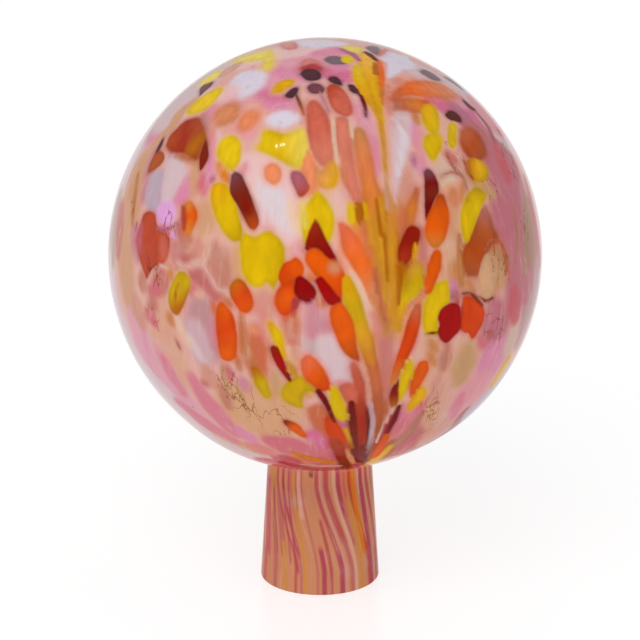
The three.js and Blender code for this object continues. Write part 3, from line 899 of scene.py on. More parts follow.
MARGIN = 4.0  # how far outside a streak or patch its depth is still worked out, in units of its softness
VERY_FAR = 1e9
TINY = 1e-9  # keeps a division by a length from failing


def streak(points, line, half, t, colours, soft):
    """Depth inside a tapering streak, in units of its softness, and its colour, at the points near it."""
    middle = (line[0] + line[-1]) / 2
    reach = np.max(np.linalg.norm(line - middle, axis=1)) + np.max(half) + MARGIN * np.max(soft)
    chosen = near(points, middle, reach)
    spots = points[chosen]
    depth = np.full(len(chosen), -VERY_FAR)
    place = np.zeros(len(chosen))
    for k in range(len(line) - 1):
        step = line[k + 1] - line[k]
        along_step = np.clip((spots - line[k]) @ step / max(step @ step, TINY), 0, 1)
        away = np.linalg.norm(spots - line[k] - along_step[:, None] * step, axis=1)
        here = half[k] + (half[k + 1] - half[k]) * along_step - away
        better = here > depth
        depth[better] = here[better]
        place[better] = (t[k] + (t[k + 1] - t[k]) * along_step)[better]
    return chosen, depth / soft, along(colours, place)


def flat_map(points, middle):
    """Points of the ball laid flat round a middle point, true to distance from it."""
    out = middle / np.linalg.norm(middle)
    east = np.cross([0.0, 0.0, 1.0], out)
    east /= np.linalg.norm(east)
    north = np.cross(out, east)
    unit = points / np.linalg.norm(points, axis=1, keepdims=True)
    side = np.stack([unit @ east, unit @ north], axis=1)
    size = np.maximum(np.linalg.norm(side, axis=1), TINY)
    return side * (BALL_RADIUS * np.arccos(np.clip(unit @ out, -1, 1)) / size)[:, None]


def patch(points, outline, colours, soft):
    """Depth inside an outlined patch, in units of its softness, and its colour, at the points near it.

    The colours follow one another from the outline's first point to the point halfway round it.
    """
    middle = outline.mean(axis=0)
    reach = np.max(np.linalg.norm(outline - middle, axis=1)) + MARGIN * soft
    chosen = near(points, middle, reach)
    spots = flat_map(points[chosen], middle)
    corners = flat_map(outline, middle)
    away = np.full(len(chosen), VERY_FAR)
    inside = np.zeros(len(chosen), bool)
    for a, b in zip(corners, np.roll(corners, -1, axis=0)):
        step = b - a
        along_step = np.clip((spots - a) @ step / max(step @ step, TINY), 0, 1)
        away = np.minimum(away, np.linalg.norm(spots - a - along_step[:, None] * step, axis=1))
        spans_it = (a[1] > spots[:, 1]) != (b[1] > spots[:, 1])
        if abs(step[1]) > TINY:
            inside ^= spans_it & (spots[:, 0] < a[0] + step[0] * (spots[:, 1] - a[1]) / step[1])
    run = corners[len(corners) // 2] - corners[0]
    place = np.clip((spots - corners[0]) @ run / (run @ run), 0, 1)
    return chosen, np.where(inside, away, -away) / soft, along(colours, place)


PIXEL = CAMERA_DISTANCE / FOCAL_PIXELS  # the size of a pixel at the ball
OVAL_END = 0.62  # the width near the ends of a chip that is given one width, as a share of it
# How far an end of a path may be moved inwards, as a share of the step there.
MOST_OF_ONLY_STEP = 0.48
MOST_OF_END_STEP = 0.9


def pulled_in(path, lengths):
    """A path with its ends moved inwards, so that the round ends of the streak reach the given ends."""
    path = np.array(path, float)
    first = path[1] - path[0]
    last = path[-2] - path[-1]
    most = MOST_OF_ONLY_STEP if len(path) == 2 else MOST_OF_END_STEP
    path[0] += first * min(lengths[0] / max(np.linalg.norm(first), TINY), most)
    path[-1] += last * min(lengths[1] / max(np.linalg.norm(last), TINY), most)
    return path


def photographed(points, glass, path, width, soft):
    """The depth and colour of a wash or chip that is given in pixels of the photograph."""
    colours = glass_colours(glass)
    if width is None:
        rounded, _ = smooth_path(path + path[:1], steps=3)
        return patch(points, on_ball(rounded[:-1]), colours, soft * PIXEL)
    if not np.ndim(width):
        width = (OVAL_END * width, width, OVAL_END * width)
    pixels, t = smooth_path(pulled_in(path, np.array([width[0], width[-1]]) / 2))
    half = along(width, t)[:, 0] / 2
    heading = np.gradient(pixels, axis=0)
    heading /= np.maximum(np.linalg.norm(heading, axis=1, keepdims=True), TINY)
    across = np.stack([-heading[:, 1], heading[:, 0]], axis=1) * half[:, None]
    true_half = np.linalg.norm(on_ball(pixels + across) - on_ball(pixels - across), axis=1) / 2
    return streak(points, on_ball(pixels), true_half, t, colours, soft * PIXEL)


def arc(centre, radius, from_angle, to_angle, row):
    """Points of an arc of the profile, in (r, z), about a row apart."""
    steps = max(3, round(abs(to_angle - from_angle) * radius / row))
    angles = np.linspace(from_angle, to_angle, steps + 1)
    return np.stack([centre[0] + radius * np.cos(angles), centre[1] + radius * np.sin(angles)], axis=1)


def crease(ball_radius, foot, side, outward, radius):
    """The small arc that joins a ball of one radius to a side of the neck, outside both of them."""
    ball = np.array([0.0, BALL_CENTRE[2]])
    start = foot + outward * radius
    nearest = (ball - start) @ side
    off = (ball - start) @ outward
    centre = start + side * (nearest - math.sqrt((ball_radius + radius) ** 2 - off**2))
    to_ball = math.atan2(ball[1] - centre[1], ball[0] - centre[0])
    to_neck = math.atan2(-outward[1], -outward[0]) % (2 * math.pi)
    return centre, to_ball, to_neck


def straight(a, b, row):
    """Points between two ends of the profile, both left out."""
    steps = max(1, round(np.linalg.norm(b - a) / row))
    return a + (b - a) * (np.arange(1, steps) / steps)[:, None]


def profile():
    """The outer rows from the ball's top down to the rim, and the inner ones from the rim up to the top."""
    ball = np.array([0.0, BALL_CENTRE[2]])
    foot = np.array([NECK_RIM_RADIUS, 0.0])
    side = np.array([NECK_TOP_RADIUS, CREASE_HEIGHT]) - foot
    side /= np.linalg.norm(side)
    outward = np.array([side[1], -side[0]])
    inner_foot = foot - outward * NECK_WALL
    inner_radius = BALL_RADIUS - BALL_WALL
    inner_crease_radius = CREASE_RADIUS + NECK_WALL
    outer_centre, outer_ball, outer_neck = crease(BALL_RADIUS, foot, side, outward, CREASE_RADIUS)
    inner_joint = crease(inner_radius, inner_foot, side, outward, inner_crease_radius)
    inner_centre, inner_ball, inner_neck = inner_joint
    quarter = math.pi / 2

    ball_rows = arc(ball, BALL_RADIUS, quarter, outer_ball - math.pi, OUTER_ROW)
    crease_rows = arc(outer_centre, CREASE_RADIUS, outer_ball, outer_neck, CREASE_ROW)
    rim_outer_centre = np.array([NECK_RIM_RADIUS - RIM_ROUND, RIM_ROUND])
    rim_outer = arc(rim_outer_centre, RIM_ROUND, 0, -quarter, RIM_ROW)
    outer_neck_rows = straight(crease_rows[-1], rim_outer[0], NECK_ROW)
    outer = np.vstack([ball_rows, crease_rows[1:], outer_neck_rows, rim_outer])

    rim_inner_centre = np.array([NECK_RIM_RADIUS - NECK_WALL + RIM_ROUND, RIM_ROUND])
    rim_inner = arc(rim_inner_centre, RIM_ROUND, 3 * quarter, 2 * quarter, RIM_ROW)
    inner_crease = arc(inner_centre, inner_crease_radius, inner_neck, inner_ball, INNER_CREASE_ROW)
    inner_rows = arc(ball, inner_radius, inner_ball - math.pi, quarter, INNER_ROW)
    neck_rows = straight(rim_inner[-1], inner_crease[0], INNER_ROW)
    inner = np.vstack([rim_inner, neck_rows, inner_crease, inner_rows[1:]])
    return outer[1:], inner[:-1]


def ring_points(rows, steps):
    angles = 2 * np.pi * np.arange(steps) / steps
    r = rows[:, 0][:, None]
    z = np.repeat(rows[:, 1][:, None], steps, axis=1)
    return np.stack([r * np.sin(angles), -r * np.cos(angles), z], axis=2).reshape(-1, 3)


def ring_faces(rows, steps, first):
    """Quads between rings, facing outwards where the rings go down the outside and up the inside."""
    row, step = np.meshgrid(np.arange(rows - 1), np.arange(steps), indexing="ij")
    here = first + row * steps + step
    beside = first + row * steps + (step + 1) % steps
    return np.stack([here, here + steps, beside + steps, beside], axis=2).reshape(-1, 4).tolist()


def glass_mesh():
    """The vertices, before the sideways shift, the faces, and where the inside starts."""
    outer, inner = profile()
    outside = ring_points(outer, OUTER_STEPS_AROUND)
    inside = ring_points(inner, INNER_STEPS_AROUND)
    top = [[0.0, 0.0, BALL_CENTRE[2] + BALL_RADIUS]]
    inner_top = [[0.0, 0.0, BALL_CENTRE[2] + BALL_RADIUS - BALL_WALL]]
    vertices = np.vstack([top, outside, inside, inner_top])
    first_inside = 1 + len(outside)
    last = len(vertices) - 1

    faces = [(0, 1 + i, 1 + (i + 1) % OUTER_STEPS_AROUND) for i in range(OUTER_STEPS_AROUND)]
    faces += ring_faces(len(outer), OUTER_STEPS_AROUND, 1)
    faces += ring_faces(len(inner), INNER_STEPS_AROUND, first_inside)
    final_ring = last - INNER_STEPS_AROUND
    for i in range(INNER_STEPS_AROUND):
        faces.append((final_ring + i, last, final_ring + (i + 1) % INNER_STEPS_AROUND))

    # Under the rim the fine rings of the outside meet the coarse ones of the inside, four steps to one.
    ratio = OUTER_STEPS_AROUND // INNER_STEPS_AROUND
    rim_ring = first_inside - OUTER_STEPS_AROUND
    for i in range(INNER_STEPS_AROUND):
        fine = [rim_ring + (ratio * i + k) % OUTER_STEPS_AROUND for k in range(ratio + 1)]
        coarse = [first_inside + i, first_inside + (i + 1) % INNER_STEPS_AROUND]
        for k in range(ratio):
            faces.append((fine[k], coarse[k * 2 // ratio], fine[k + 1]))
        faces.append((fine[ratio // 2], coarse[0], coarse[1]))
    return vertices, faces, first_inside


def turned_about_axis(colatitude, longitude):
    """Points of the ball, with longitude from the front."""
    out = np.sin(colatitude)
    x = out * np.sin(longitude)
    y = -out * np.cos(longitude)
    return BALL_RADIUS * np.stack([x, y, np.cos(colatitude)], axis=-1)


def facing_camera(points):
    """Nearly 1 where the ball faces the camera, 0 at its outline and negative behind."""
    return points @ TO_EYE / BALL_RADIUS - BALL_RADIUS / CAMERA_DISTANCE


CREASE_SHADE_OVER = 9.0  # the height above the crease over which the glass is painted darker and deeper in colour, as painted shade on the ball's underside
CREASE_SHADE_LOSS = np.array([0.03, 0.32, 0.32])  # how much of its red, green and blue it loses at the crease
HIDDEN_SEED = 11
HIDDEN_WASHES = 320
HIDDEN_CHIPS = [200, 800, 200]  # how many chips are tried in each layer
# Lengths, widths and the gap between outlines are in millimetres, and a gap below 0 lets them overlap. The
# limit is how far towards the camera a streak may come, 0 at the ball's outline.
HIDDEN_WASH = {"lengths": (14, 34), "widths": (7, 16), "gap": -6.0, "limit": 0.06}
HIDDEN_CHIP = {"lengths": (7, 25), "widths": (4, 12), "gap": 2.0, "limit": -0.02}
HIDDEN_WASH_SOFTNESS = 2.4
HIDDEN_CHIP_SOFTNESS = 0.55
HIDDEN_HEIGHTS = (-0.93, 0.99)  # from near the crease to near the crown, where the ball's centre is at 0
HIDDEN_POLES = (0.05, 2.85)  # the angles from the crown between which a streak stays, in radians
HIDDEN_SLANT = 0.35  # how far a streak leans or bends at most, as a share of its length
HIDDEN_SKEW = (0.6, 1.6)  # below 1 a streak is widest above its middle, above 1 below it
HIDDEN_POINTS = 7  # along each streak
LEAST_GIRTH = 0.3  # nearer to the poles than this share of the equator, a streak leans no further round
# A streak's width follows a part of half a wave: where the part starts and how long it is, as shares of the
# half wave, and the width that is left where the wave is at nothing.
TAPERED_OVER = (0.12, 0.78)
TAPERED_END = 0.42
HIDDEN_WASH_GLASS = [
    ("pink",), ("pale_pink",), ("peach",), ("tan",), ("orchid",), ("rose",), ("milk_pink",), ("milk_lilac",),
    ("mauve_rose",), ("khaki",), ("rose_brown",), ("brown_coral", "peach"), ("dusky_rose", "pink"),
    ("milk_lilac", "milk_white"), ("magenta_pink", "orchid"),
]
HIDDEN_CHIP_GLASS = [
    ("lemon", "yellow", "olive"), ("yellow", "gold"), ("olive", "yellow"), ("lemon", "gold"),
    ("gold", "ochre"), ("orange", "deep_orange"), ("bright_orange", "orange"), ("orange_tan", "deep_orange"),
    ("deep_orange", "orange"), ("rust", "oxblood", "rust"), ("garnet", "blood_brown"),
    ("dark_wine", "wine_grey"), ("night", "wine_grey"), ("salmon", "bright_coral"), ("coral", "brick"),
    ("bright_salmon", "salmon"), ("mulberry", "mauve_rose"),
]


def hidden_streaks(rng, count, glasses, lengths, widths, gap, limit):
    """Streaks like those in the photograph for the sides that it doesn't show, drawn out towards the neck."""
    middles = np.empty((0, 3))
    halves = np.empty(0)
    for _ in range(count):
        colatitude = math.acos(rng.uniform(*HIDDEN_HEIGHTS))
        longitude = rng.uniform(-math.pi, math.pi)
        length = rng.uniform(*lengths)
        half = rng.uniform(*widths) / 2
        slant, bend = rng.uniform(-HIDDEN_SLANT, HIDDEN_SLANT, 2)
        skew = rng.uniform(*HIDDEN_SKEW)
        glass = glasses[rng.integers(len(glasses))]
        t = np.linspace(0, 1, HIDDEN_POINTS)
        run = (t - 0.5) * length / BALL_RADIUS
        aside = run * slant + bend * (t - 0.5) ** 2 * length / BALL_RADIUS
        down = np.clip(colatitude + run, *HIDDEN_POLES)
        around = longitude + aside / max(math.sin(colatitude), LEAST_GIRTH)
        line = turned_about_axis(down, around)
        if np.max(facing_camera(line)) > limit:
            continue
        apart = np.linalg.norm(line[:, None] - middles, axis=2) - halves - half
        if apart.size and np.min(apart) < gap:
            continue
        middles = np.vstack([middles, line])
        halves = np.append(halves, np.full(len(line), half))
        swell = np.sin(np.pi * (TAPERED_OVER[0] + TAPERED_OVER[1] * t**skew))
        yield line, half * (TAPERED_END + (1 - TAPERED_END) * swell), t, glass


WIDEST_STRIPE = 0.2  # in radians: a stripe seen at the neck's outline is made no wider
STRIPE_EDGE = 0.02  # how far a stripe's edges are blurred to each side, in radians
STRIPE_END = 1.0  # how far its ends are, in millimetres
HIDDEN_STRIPE_GLASS = [
    "neck_crimson", "peach", "magenta", "neck_ochre", "coral", "tan_rose", "dusky_rose", "neck_tan",
]
# The stripes of the neck's hidden side: widths and turns in radians, steps as shares of the width.
HIDDEN_STRIPE_WIDTHS = (0.05, 0.13)
HIDDEN_STRIPE_TURNS = (0.3, 0.45)
HIDDEN_STRIPE_STEPS = (0.75, 1.05)
WHOLE_STRIPES = 0.7  # the share of them that runs down the whole neck
WHOLE_NECK = (-10.0, 60.0)
SHORT_STRIPE_FEET = (-10, 12)  # the heights between which the others start, in millimetres
SHORT_STRIPE_HEADS = (25, 60)


def neck_stripes():
    """The neck's stripes: angle above the turn and below it, width, height from and to, and colour."""
    stripes = []
    for glass, top, bottom, width, rows in NECK_STRIPES:
        angles, _ = on_neck([(top, NECK_TOP_ROW), (bottom, NECK_BOTTOM_ROW)])
        edges, _ = on_neck([(bottom - width / 2, NECK_BOTTOM_ROW), (bottom + width / 2, NECK_BOTTOM_ROW)])
        _, heights = on_neck([(PHOTO_SIZE / 2, rows[0]), (PHOTO_SIZE / 2, rows[1])])
        wide = min(edges[1] - edges[0], WIDEST_STRIPE)
        stripes.append((angles[0], angles[1], wide, heights[1], heights[0], linear(glass)))
    rng = np.random.default_rng(HIDDEN_SEED)
    place = max(stripe[1] for stripe in stripes)
    last = min(stripe[0] for stripe in stripes) + 2 * math.pi
    while place < last:
        width = rng.uniform(*HIDDEN_STRIPE_WIDTHS)
        turned = place - rng.uniform(*HIDDEN_STRIPE_TURNS)
        ends = WHOLE_NECK
        if rng.random() >= WHOLE_STRIPES:
            ends = (rng.uniform(*SHORT_STRIPE_FEET), rng.uniform(*SHORT_STRIPE_HEADS))
        stripes.append((turned, place, width, *ends, linear(rng.choice(HIDDEN_STRIPE_GLASS))))
        place += width * rng.uniform(*HIDDEN_STRIPE_STEPS)
    return stripes


# Where the neck's stripes end at the ball: a wavy line, from the waves' heights, counts and starts.
JOIN_WAVES = [(0.7, 5, 1), (0.4, 12, 0)]
JOIN_OVER = 1.4  # the height over which the stripes fade there
JOIN_REACH = 1.5  # how far above the crease points are still painted with them


def paint_neck(vertices, ground):
    """Paints the stripes on the points of the neck and inside it."""
    below = np.nonzero(vertices[:, 2] < CREASE_HEIGHT + JOIN_REACH)[0]
    spots = vertices[below]
    angle = np.arctan2(spots[:, 0], -spots[:, 1])
    turned = below_turn(spots[:, 2])
    colour = np.tile(linear("neck_tan"), (len(below), 1))
    for top, bottom, width, low, high, glass in neck_stripes():
        centre = top + (bottom - top) * turned
        off = np.abs((angle - centre + math.pi) % (2 * math.pi) - math.pi)
        shows = smoothstep(spots[:, 2], low - STRIPE_END, low + STRIPE_END)
        shows *= 1 - smoothstep(spots[:, 2], high - STRIPE_END, high + STRIPE_END)
        inside = 1 - smoothstep(off, width / 2 - STRIPE_EDGE, width / 2 + STRIPE_EDGE)
        cover = inside * shows * STRIPE_STRENGTH
        colour += (glass - colour) * cover[:, None]
    # Painted light: the neck's top is made lighter, against the shade under the ball.
    painted_light = smoothstep(spots[:, 2], CREASE_HEIGHT - NECK_TOP_LIGHT_OVER, CREASE_HEIGHT)
    colour *= 1 + NECK_TOP_PAINTED_LIGHT * painted_light[:, None]
    wave = sum(height * np.sin(count * angle + start) for height, count, start in JOIN_WAVES)
    blend = 1 - smoothstep(spots[:, 2] - wave, CREASE_HEIGHT - JOIN_OVER, CREASE_HEIGHT)
    ground[below] += (colour - ground[below]) * blend[:, None]


BALL_OVERLAP = 0.5  # how far below the crease the ball's own paint reaches
OUT_OF_REACH = [0.0, 0.0, 1e4]  # where the neck's points are put while the ball is painted
DEPTH_RANGE = (-4.0, 6.0)  # of the chips' stored depths, in units of their softness
# Inside, the chips are seen through the glass, blurred and milky.
SEEN_THROUGH = 0.7
SEEN_BLUR = 3
MILKINESS = 0.25


def paint(vertices, first_inside):
    """The ground's colour, each layer's chip colour and depth, and how cracked the glass is."""
    from_centre = vertices - BALL_CENTRE
    points = from_centre * (BALL_RADIUS / np.linalg.norm(from_centre, axis=1, keepdims=True))
    of_ball = vertices[:, 2] > CREASE_HEIGHT - BALL_OVERLAP
    points[~of_ball] = OUT_OF_REACH
    rng = np.random.default_rng(HIDDEN_SEED)

    ground = np.tile(linear("blush"), (len(points), 1))

    def lay(chosen, depth, colour):
        cover = smoothstep(depth, -1, 1)[:, None]
        ground[chosen] += (colour - ground[chosen]) * cover

    for line, half, t, glass in hidden_streaks(rng, HIDDEN_WASHES, HIDDEN_WASH_GLASS, **HIDDEN_WASH):
        lay(*streak(points, line, half, t, glass_colours(glass), HIDDEN_WASH_SOFTNESS))
    for wash in WASHES:
        lay(*photographed(points, *wash))
    # Painted shade: the underside is darkened towards the crease.
    crease_shade = smoothstep(vertices[:, 2], CREASE_HEIGHT + CREASE_SHADE_OVER, CREASE_HEIGHT)
    ground *= 1 - crease_shade[:, None] * CREASE_SHADE_LOSS

    layers = []
    for chips, hidden in zip(CHIP_LAYERS, HIDDEN_CHIPS):
        colour = np.tile(linear("coral"), (len(points), 1))
        depth = np.full(len(points), DEPTH_RANGE[0])
        fields = [photographed(points, *chip) for chip in chips]
        for line, half, t, glass in hidden_streaks(rng, hidden, HIDDEN_CHIP_GLASS, **HIDDEN_CHIP):
            fields.append(streak(points, line, half, t, glass_colours(glass), HIDDEN_CHIP_SOFTNESS))
        for chosen, here, tint in fields:
            better = here > depth[chosen]
            depth[chosen[better]] = here[better]
            colour[chosen[better]] = tint[better]
        layers.append([colour, np.clip(depth, *DEPTH_RANGE)])

    inner = np.arange(len(points)) >= first_inside
    for colour, depth in layers:
        cover = SEEN_THROUGH * smoothstep(depth[inner], -SEEN_BLUR, SEEN_BLUR)[:, None]
        ground[inner] += (colour[inner] - ground[inner]) * cover
        depth[inner] = DEPTH_RANGE[0]
    ground[inner] += (linear("pale_pink") - ground[inner]) * MILKINESS
    paint_neck(vertices, ground)

    cracked = np.zeros(len(points))
    for path, width, soft in CRACKED:
        chosen, depth, _ = photographed(points, "cream", path, width, soft)
        cracked[chosen] = np.maximum(cracked[chosen], smoothstep(depth, -1, 1))
    cracked[inner] = 0
    return ground, layers, cracked


FLOW_GATHERS = 1.6  # how soon the flow's streaks draw together towards the poles


def flow_coordinates(vertices):
    """Coordinates round the ball and down towards the neck, for streaks that follow the blown glass."""
    off = vertices - BALL_CENTRE
    of_neck = vertices[:, 2] < CREASE_HEIGHT
    angle = np.arctan2(off[:, 0], -off[:, 1]) - np.where(of_neck, NECK_TWIST * below_turn(vertices[:, 2]), 0)
    colatitude = np.arccos(np.clip(off[:, 2] / np.maximum(np.linalg.norm(off, axis=1), TINY), -1, 1))
    spread = np.where(of_neck, 1, np.minimum(1, np.sin(colatitude) * FLOW_GATHERS))
    down = np.where(of_neck, math.pi + (CREASE_HEIGHT - vertices[:, 2]) / BALL_RADIUS, colatitude)
    return np.stack([np.sin(angle) * spread, -np.cos(angle) * spread, down], axis=1)


def glass_object():
    vertices, faces, first_inside = glass_mesh()
    ground, layers, cracked = paint(vertices, first_inside)
    flow = flow_coordinates(vertices)
    shifted = vertices.copy()
    shifted[:, 0] -= sideways(vertices[:, 2])
    mesh = bpy.data.meshes.new("blown_glass_ball")
    mesh.from_pydata((shifted * MM).tolist(), [], faces)
    mesh.shade_smooth()

    def store(name, kind, field, values):
        attribute = mesh.attributes.new(name, kind, "POINT")
        attribute.data.foreach_set(field, np.ascontiguousarray(values, dtype=np.float32).ravel())

    def with_alpha(colour):
        return np.hstack([colour, np.ones((len(colour), 1))])

    store("ground", "FLOAT_COLOR", "color", with_alpha(ground))
    store("flow", "FLOAT_VECTOR", "vector", flow)
    store("cracked", "FLOAT", "value", cracked)
    for k, (colour, depth) in enumerate(layers):
        store(f"chips_{k}", "FLOAT_COLOR", "color", with_alpha(colour))
        store(f"depth_{k}", "FLOAT", "value", depth)
    ball = bpy.data.objects.new("blown_glass_ball", mesh)
    bpy.context.scene.collection.objects.link(ball)
    return ball


class Nodes:
    """Short calls for building a node tree."""

    def __init__(self, tree):
        self.tree = tree
        tree.nodes.clear()

    def add(self, kind, settings=None, **inputs):
        node = self.tree.nodes.new("ShaderNode" + kind)
        for key, value in (settings or {}).items():
            setattr(node, key, value)
        for key, value in inputs.items():
            self.put(node.inputs[key.replace("_", " ")], value)
        return node

    def put(self, socket, value):
        if isinstance(value, bpy.types.NodeSocket):
            self.tree.links.new(value, socket)
        else:
            socket.default_value = value

    def attribute(self, name, output):
        return self.add("Attribute", {"attribute_name": name}).outputs[output]

    def math(self, operation, *values):
        node = self.add("Math", {"operation": operation})
        for socket, value in zip(node.inputs, values):
            self.put(socket, value)
        return node.outputs[0]

    def stretch(self, vector, scale):
        node = self.add("VectorMath", {"operation": "MULTIPLY"})
        self.put(node.inputs[0], vector)
        self.put(node.inputs[1], scale)
        return node.outputs[0]

    def noise(self, vector, scale, detail=2.0, roughness=0.5):
        node = self.add("TexNoise", None, Vector=vector, Scale=scale, Detail=detail, Roughness=roughness)
        return node.outputs[0]

    def ramp(self, value, low, high, to_low=0.0, to_high=1.0):
        node = self.add("MapRange", {"interpolation_type": "SMOOTHSTEP"}, Value=value)
        ends = {"From Min": low, "From Max": high, "To Min": to_low, "To Max": to_high}
        for name, end in ends.items():
            self.put(node.inputs[name], end)
        return node.outputs[0]

    def mix(self, factor, a, b, blend="MIX"):
        """Mixes two colours, whose sockets come after those for numbers and vectors."""
        node = self.add("Mix", {"data_type": "RGBA", "blend_type": blend})
        self.put(node.inputs[0], factor)
        self.put(node.inputs[6], a)
        self.put(node.inputs[7], b)
        return node.outputs[2]

    def grey(self, value):
        return self.add("CombineColor", None, Red=value, Green=value, Blue=value).outputs[0]


def rgba(name):
    return (*linear(name), 1.0)


# The patterns in the glass. A stretch is how finely a pattern is divided along the flow's coordinates, and a
# scale how finely in every direction. Two numbers are the values between which it turns from nothing to its
# full strength, and two more are the strengths instead of 0 and 1.
STREAK_STRETCH = (22.0, 22.0, 5.0)
CREAM_STREAKS = (0.52, 0.8, 0.0, 0.4)
ROSE_STREAKS = (0.5, 0.2, 0.0, 0.35)
CLOUD_SCALE = 55.0
MILKY_CLOUDS = (0.55, 0.8, 0.0, 0.3)
RAGGED_SCALE = 380.0
CHIP_EDGE = (-1.5, 0.7)
CHIP_EDGE_SHADE = (-0.5, 3.5, 0.84, 1.0)
CHIP_CLOUD_STRETCH = (20.0, 20.0, 9.0)
CHIP_CLOUDS = (0.25, 0.75, 0.9, 1.08)
BLEEDING_REACH = (-3.9, -1.0)  # how far the chips' colours bleed into the glass round them
BLEEDING = 0.28
CRACK_STRETCH = (15.0, 15.0, 7.0)
CRACK_WIDTH = (0.02, 0.007)
CRACK_TINT = (0.62, 0.45, 0.38, 1)
BLOTCH_SCALE = 110.0
BLOTCH_EDGE = (0.58, 0.68)
BLOTCH_TINT = (0.84, 0.74, 0.62, 1)
SEED_SCALE = 70.0
SEED_EDGE = (0.035, 0.02)
SEED_IN_CELL = (0.86, 0.88)  # only about one cell in eight holds a seed
SEED_STRENGTH = 0.7
# The surface.
RIPPLE_STRETCH = (7.0, 7.0, 3.0)
RIPPLE_HEIGHT = 0.0012
RIPPLE_STRENGTH = 0.25
GLOSS_SCALE = 30.0
ROUGHNESS = (0.3, 0.7, 0.05, 0.11)
GLASS_IOR = 1.52
# The gloss, by how far down: the ball's underside and the neck face each other, not the white room.
GLOSS_DOWN = (2.0, 2.5, 0.08, 0.015)


def glass_material():
    material = bpy.data.materials.new("coloured_glass")
    material.use_nodes = True
    n = Nodes(material.node_tree)
    place = n.add("TexCoord").outputs["Object"]
    flow = n.attribute("flow", "Vector")

    # The clouds of the ground: paler and darker streaks along the glass as it was drawn out to the neck.
    streaks = n.noise(n.stretch(flow, STREAK_STRETCH), 1.0, detail=4.0, roughness=0.6)
    clouds = n.noise(place, CLOUD_SCALE, detail=3.0)
    colour = n.attribute("ground", "Color")
    colour = n.mix(n.ramp(streaks, *CREAM_STREAKS), colour, rgba("cream"))
    colour = n.mix(n.ramp(streaks, *ROSE_STREAKS), colour, rgba("rose"))
    colour = n.mix(n.ramp(clouds, *MILKY_CLOUDS), colour, rgba("milk_pink"))

    # The chips, layer over layer, a little darker along their edges.
    ragged = n.math("SUBTRACT", n.noise(place, RAGGED_SCALE), 0.5)
    chip_clouds = n.ramp(n.noise(n.stretch(flow, CHIP_CLOUD_STRETCH), 1.0), *CHIP_CLOUDS)
    depths = [n.math("ADD", n.attribute(f"depth_{k}", "Fac"), ragged) for k in range(len(CHIP_LAYERS))]
    for k, depth in enumerate(depths):
        bled = n.math("MULTIPLY", n.ramp(depth, *BLEEDING_REACH), BLEEDING)
        colour = n.mix(bled, colour, n.attribute(f"chips_{k}", "Color"))
    for k, depth in enumerate(depths):
        shade = n.math("MULTIPLY", n.ramp(depth, *CHIP_EDGE_SHADE), chip_clouds)
        chip = n.mix(1.0, n.attribute(f"chips_{k}", "Color"), n.grey(shade), "MULTIPLY")
        colour = n.mix(n.ramp(depth, *CHIP_EDGE), colour, chip)

    # Fine cracks and ripples along the flow, darker than the glass round them, only where they were painted.
    cracked = n.attribute("cracked", "Fac")
    warp = n.noise(n.stretch(flow, CRACK_STRETCH), 1.0, detail=2.5, roughness=0.55)
    crack = n.ramp(n.math("ABSOLUTE", n.math("SUBTRACT", warp, 0.5)), *CRACK_WIDTH)
    blotch = n.ramp(n.noise(place, BLOTCH_SCALE), *BLOTCH_EDGE)
    colour = n.mix(n.math("MULTIPLY", crack, cracked), colour, CRACK_TINT, "MULTIPLY")
    colour = n.mix(n.math("MULTIPLY", blotch, cracked), colour, BLOTCH_TINT, "MULTIPLY")

    # Tiny dark seeds in the glass.
    cells = n.add("TexVoronoi", None, Vector=place, Scale=SEED_SCALE)
    seed = n.ramp(cells.outputs["Distance"], *SEED_EDGE)
    cell = n.add("SeparateColor", None, Color=cells.outputs["Color"]).outputs[0]
    rare = n.math("MULTIPLY", seed, n.ramp(cell, *SEED_IN_CELL))
    colour = n.mix(n.math("MULTIPLY", rare, SEED_STRENGTH), colour, rgba("wine_grey"))

    waves = n.noise(n.stretch(flow, RIPPLE_STRETCH), 1.0)
    ripple = n.add("Bump", None, Strength=RIPPLE_STRENGTH, Distance=RIPPLE_HEIGHT, Height=waves)
    shader = n.add("BsdfPrincipled", None, Base_Color=colour, IOR=GLASS_IOR, Normal=ripple.outputs[0])
    n.put(shader.inputs["Roughness"], n.ramp(n.noise(place, GLOSS_SCALE), *ROUGHNESS))
    down = n.add("SeparateXYZ", None, Vector=flow).outputs[2]
    n.put(shader.inputs["Specular IOR Level"], n.ramp(down, *GLOSS_DOWN))
    output = n.add("OutputMaterial")
    n.put(output.inputs["Surface"], shader.outputs[0])
    return material


# The studio: a plain white floor in a white room, with a soft lamp in front, above and a little to the left.
FLOOR_SIZE = 6.0
SPARK_DISTANCE = 1.0
SPARKS = [((279, 147), 0.02, 0.45), ((286, 145), 0.014, 0.16)]  # the spark's pixel, its lamp's size and power
FLOOR_GLOW = 0.71  # the floor is a light table, lit from below
FLOOR_GREYS = ((0.30, 0.30, 0.30, 1), (0.32, 0.32, 0.32, 1))
FLOOR_MOTTLE_SCALE = 8.0
FLOOR_ROUGHNESS = 0.3
FLOOR_IOR = 1.4
ROOM_LIGHT = 0.62
KEY_PLACE = (-0.35, -1.3, 1.45)
KEY_SIZE = 1.4
KEY_POWER = 15.0
CLIPPING = (0.05, 20.0)


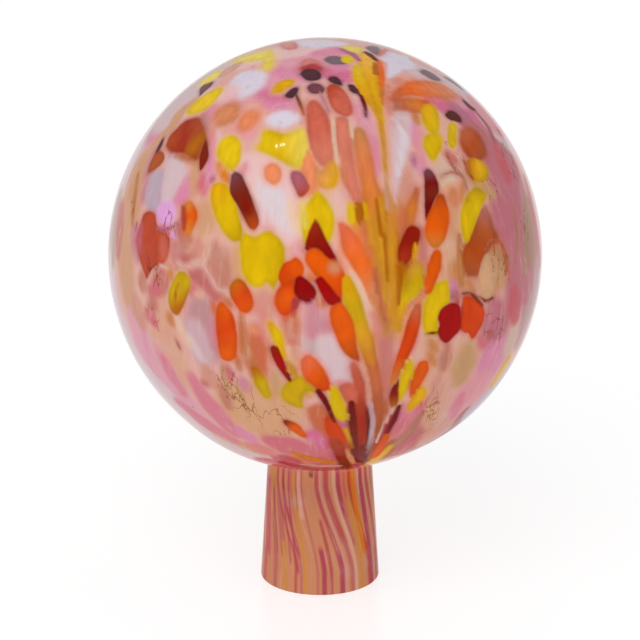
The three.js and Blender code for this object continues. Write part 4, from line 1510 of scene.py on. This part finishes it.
def floor_object():
    half = FLOOR_SIZE / 2
    mesh = bpy.data.meshes.new("studio_floor")
    corners = [(-half, -half, 0), (half, -half, 0), (half, half, 0), (-half, half, 0)]
    mesh.from_pydata(corners, [], [(0, 1, 2, 3)])
    material = bpy.data.materials.new("studio_floor_white")
    material.use_nodes = True
    n = Nodes(material.node_tree)
    place = n.add("TexCoord").outputs["Object"]
    white = n.mix(n.noise(place, FLOOR_MOTTLE_SCALE), *FLOOR_GREYS)
    shader = n.add("BsdfPrincipled", None, Base_Color=white, Roughness=FLOOR_ROUGHNESS, IOR=FLOOR_IOR)
    n.put(shader.inputs["Emission Color"], (1, 1, 1, 1))
    n.put(shader.inputs["Emission Strength"], FLOOR_GLOW)
    output = n.add("OutputMaterial")
    n.put(output.inputs["Surface"], shader.outputs[0])
    mesh.materials.append(material)
    floor = bpy.data.objects.new("studio_floor", mesh)
    bpy.context.scene.collection.objects.link(floor)
    return floor


def soft_light(name, place, aim, size, power):
    lamp = bpy.data.lights.new(name, "AREA")
    lamp.shape = "DISK"
    lamp.size = size
    lamp.energy = power
    light = bpy.data.objects.new(name, lamp)
    light.location = place
    away = np.array(place) - np.array(aim)
    flat = math.hypot(away[0], away[1])
    light.rotation_euler = (math.atan2(flat, away[2]), 0, math.atan2(away[1], away[0]) + math.pi / 2)
    bpy.context.scene.collection.objects.link(light)
    return light


def studio():
    world = bpy.data.worlds.new("white_room")
    world.use_nodes = True
    n = Nodes(world.node_tree)
    background = n.add("Background", None, Color=(1, 1, 1, 1), Strength=ROOM_LIGHT)
    output = n.add("OutputWorld")
    n.put(output.inputs["Surface"], background.outputs[0])
    bpy.context.scene.world = world
    middle = BALL_CENTRE * MM
    key = soft_light("key", KEY_PLACE, middle, KEY_SIZE, KEY_POWER)
    key.visible_glossy = False

    # Two small lamps that only the glass's gloss shows, as the sparks in the photograph.
    for pixel, size, power in SPARKS:
        out_of_ball = on_ball(pixel)[0] / BALL_RADIUS
        sight = sights(pixel)[0]
        mirrored = sight - 2 * (sight @ out_of_ball) * out_of_ball
        spot = (BALL_CENTRE + BALL_RADIUS * out_of_ball) * MM
        spark = soft_light("spark", spot + mirrored * SPARK_DISTANCE, spot, size, power)
        spark.visible_diffuse = False


def camera():
    data = bpy.data.cameras.new("photograph")
    data.sensor_width = SENSOR_WIDTH
    data.lens = FOCAL_PIXELS / PHOTO_SIZE * SENSOR_WIDTH
    data.clip_start, data.clip_end = CLIPPING
    view = bpy.data.objects.new("photograph", data)
    view.location = EYE * MM
    view.rotation_euler = (math.pi / 2 - CAMERA_PITCH, 0, CAMERA_YAW)
    bpy.context.scene.collection.objects.link(view)
    bpy.context.scene.camera = view


camera()
glass = glass_object()
glass.data.materials.append(glass_material())
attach(glass, "root")
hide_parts("glass_ball_with_neck")
floor_object()
studio()
bpy.context.scene.view_settings.view_transform = "Standard"
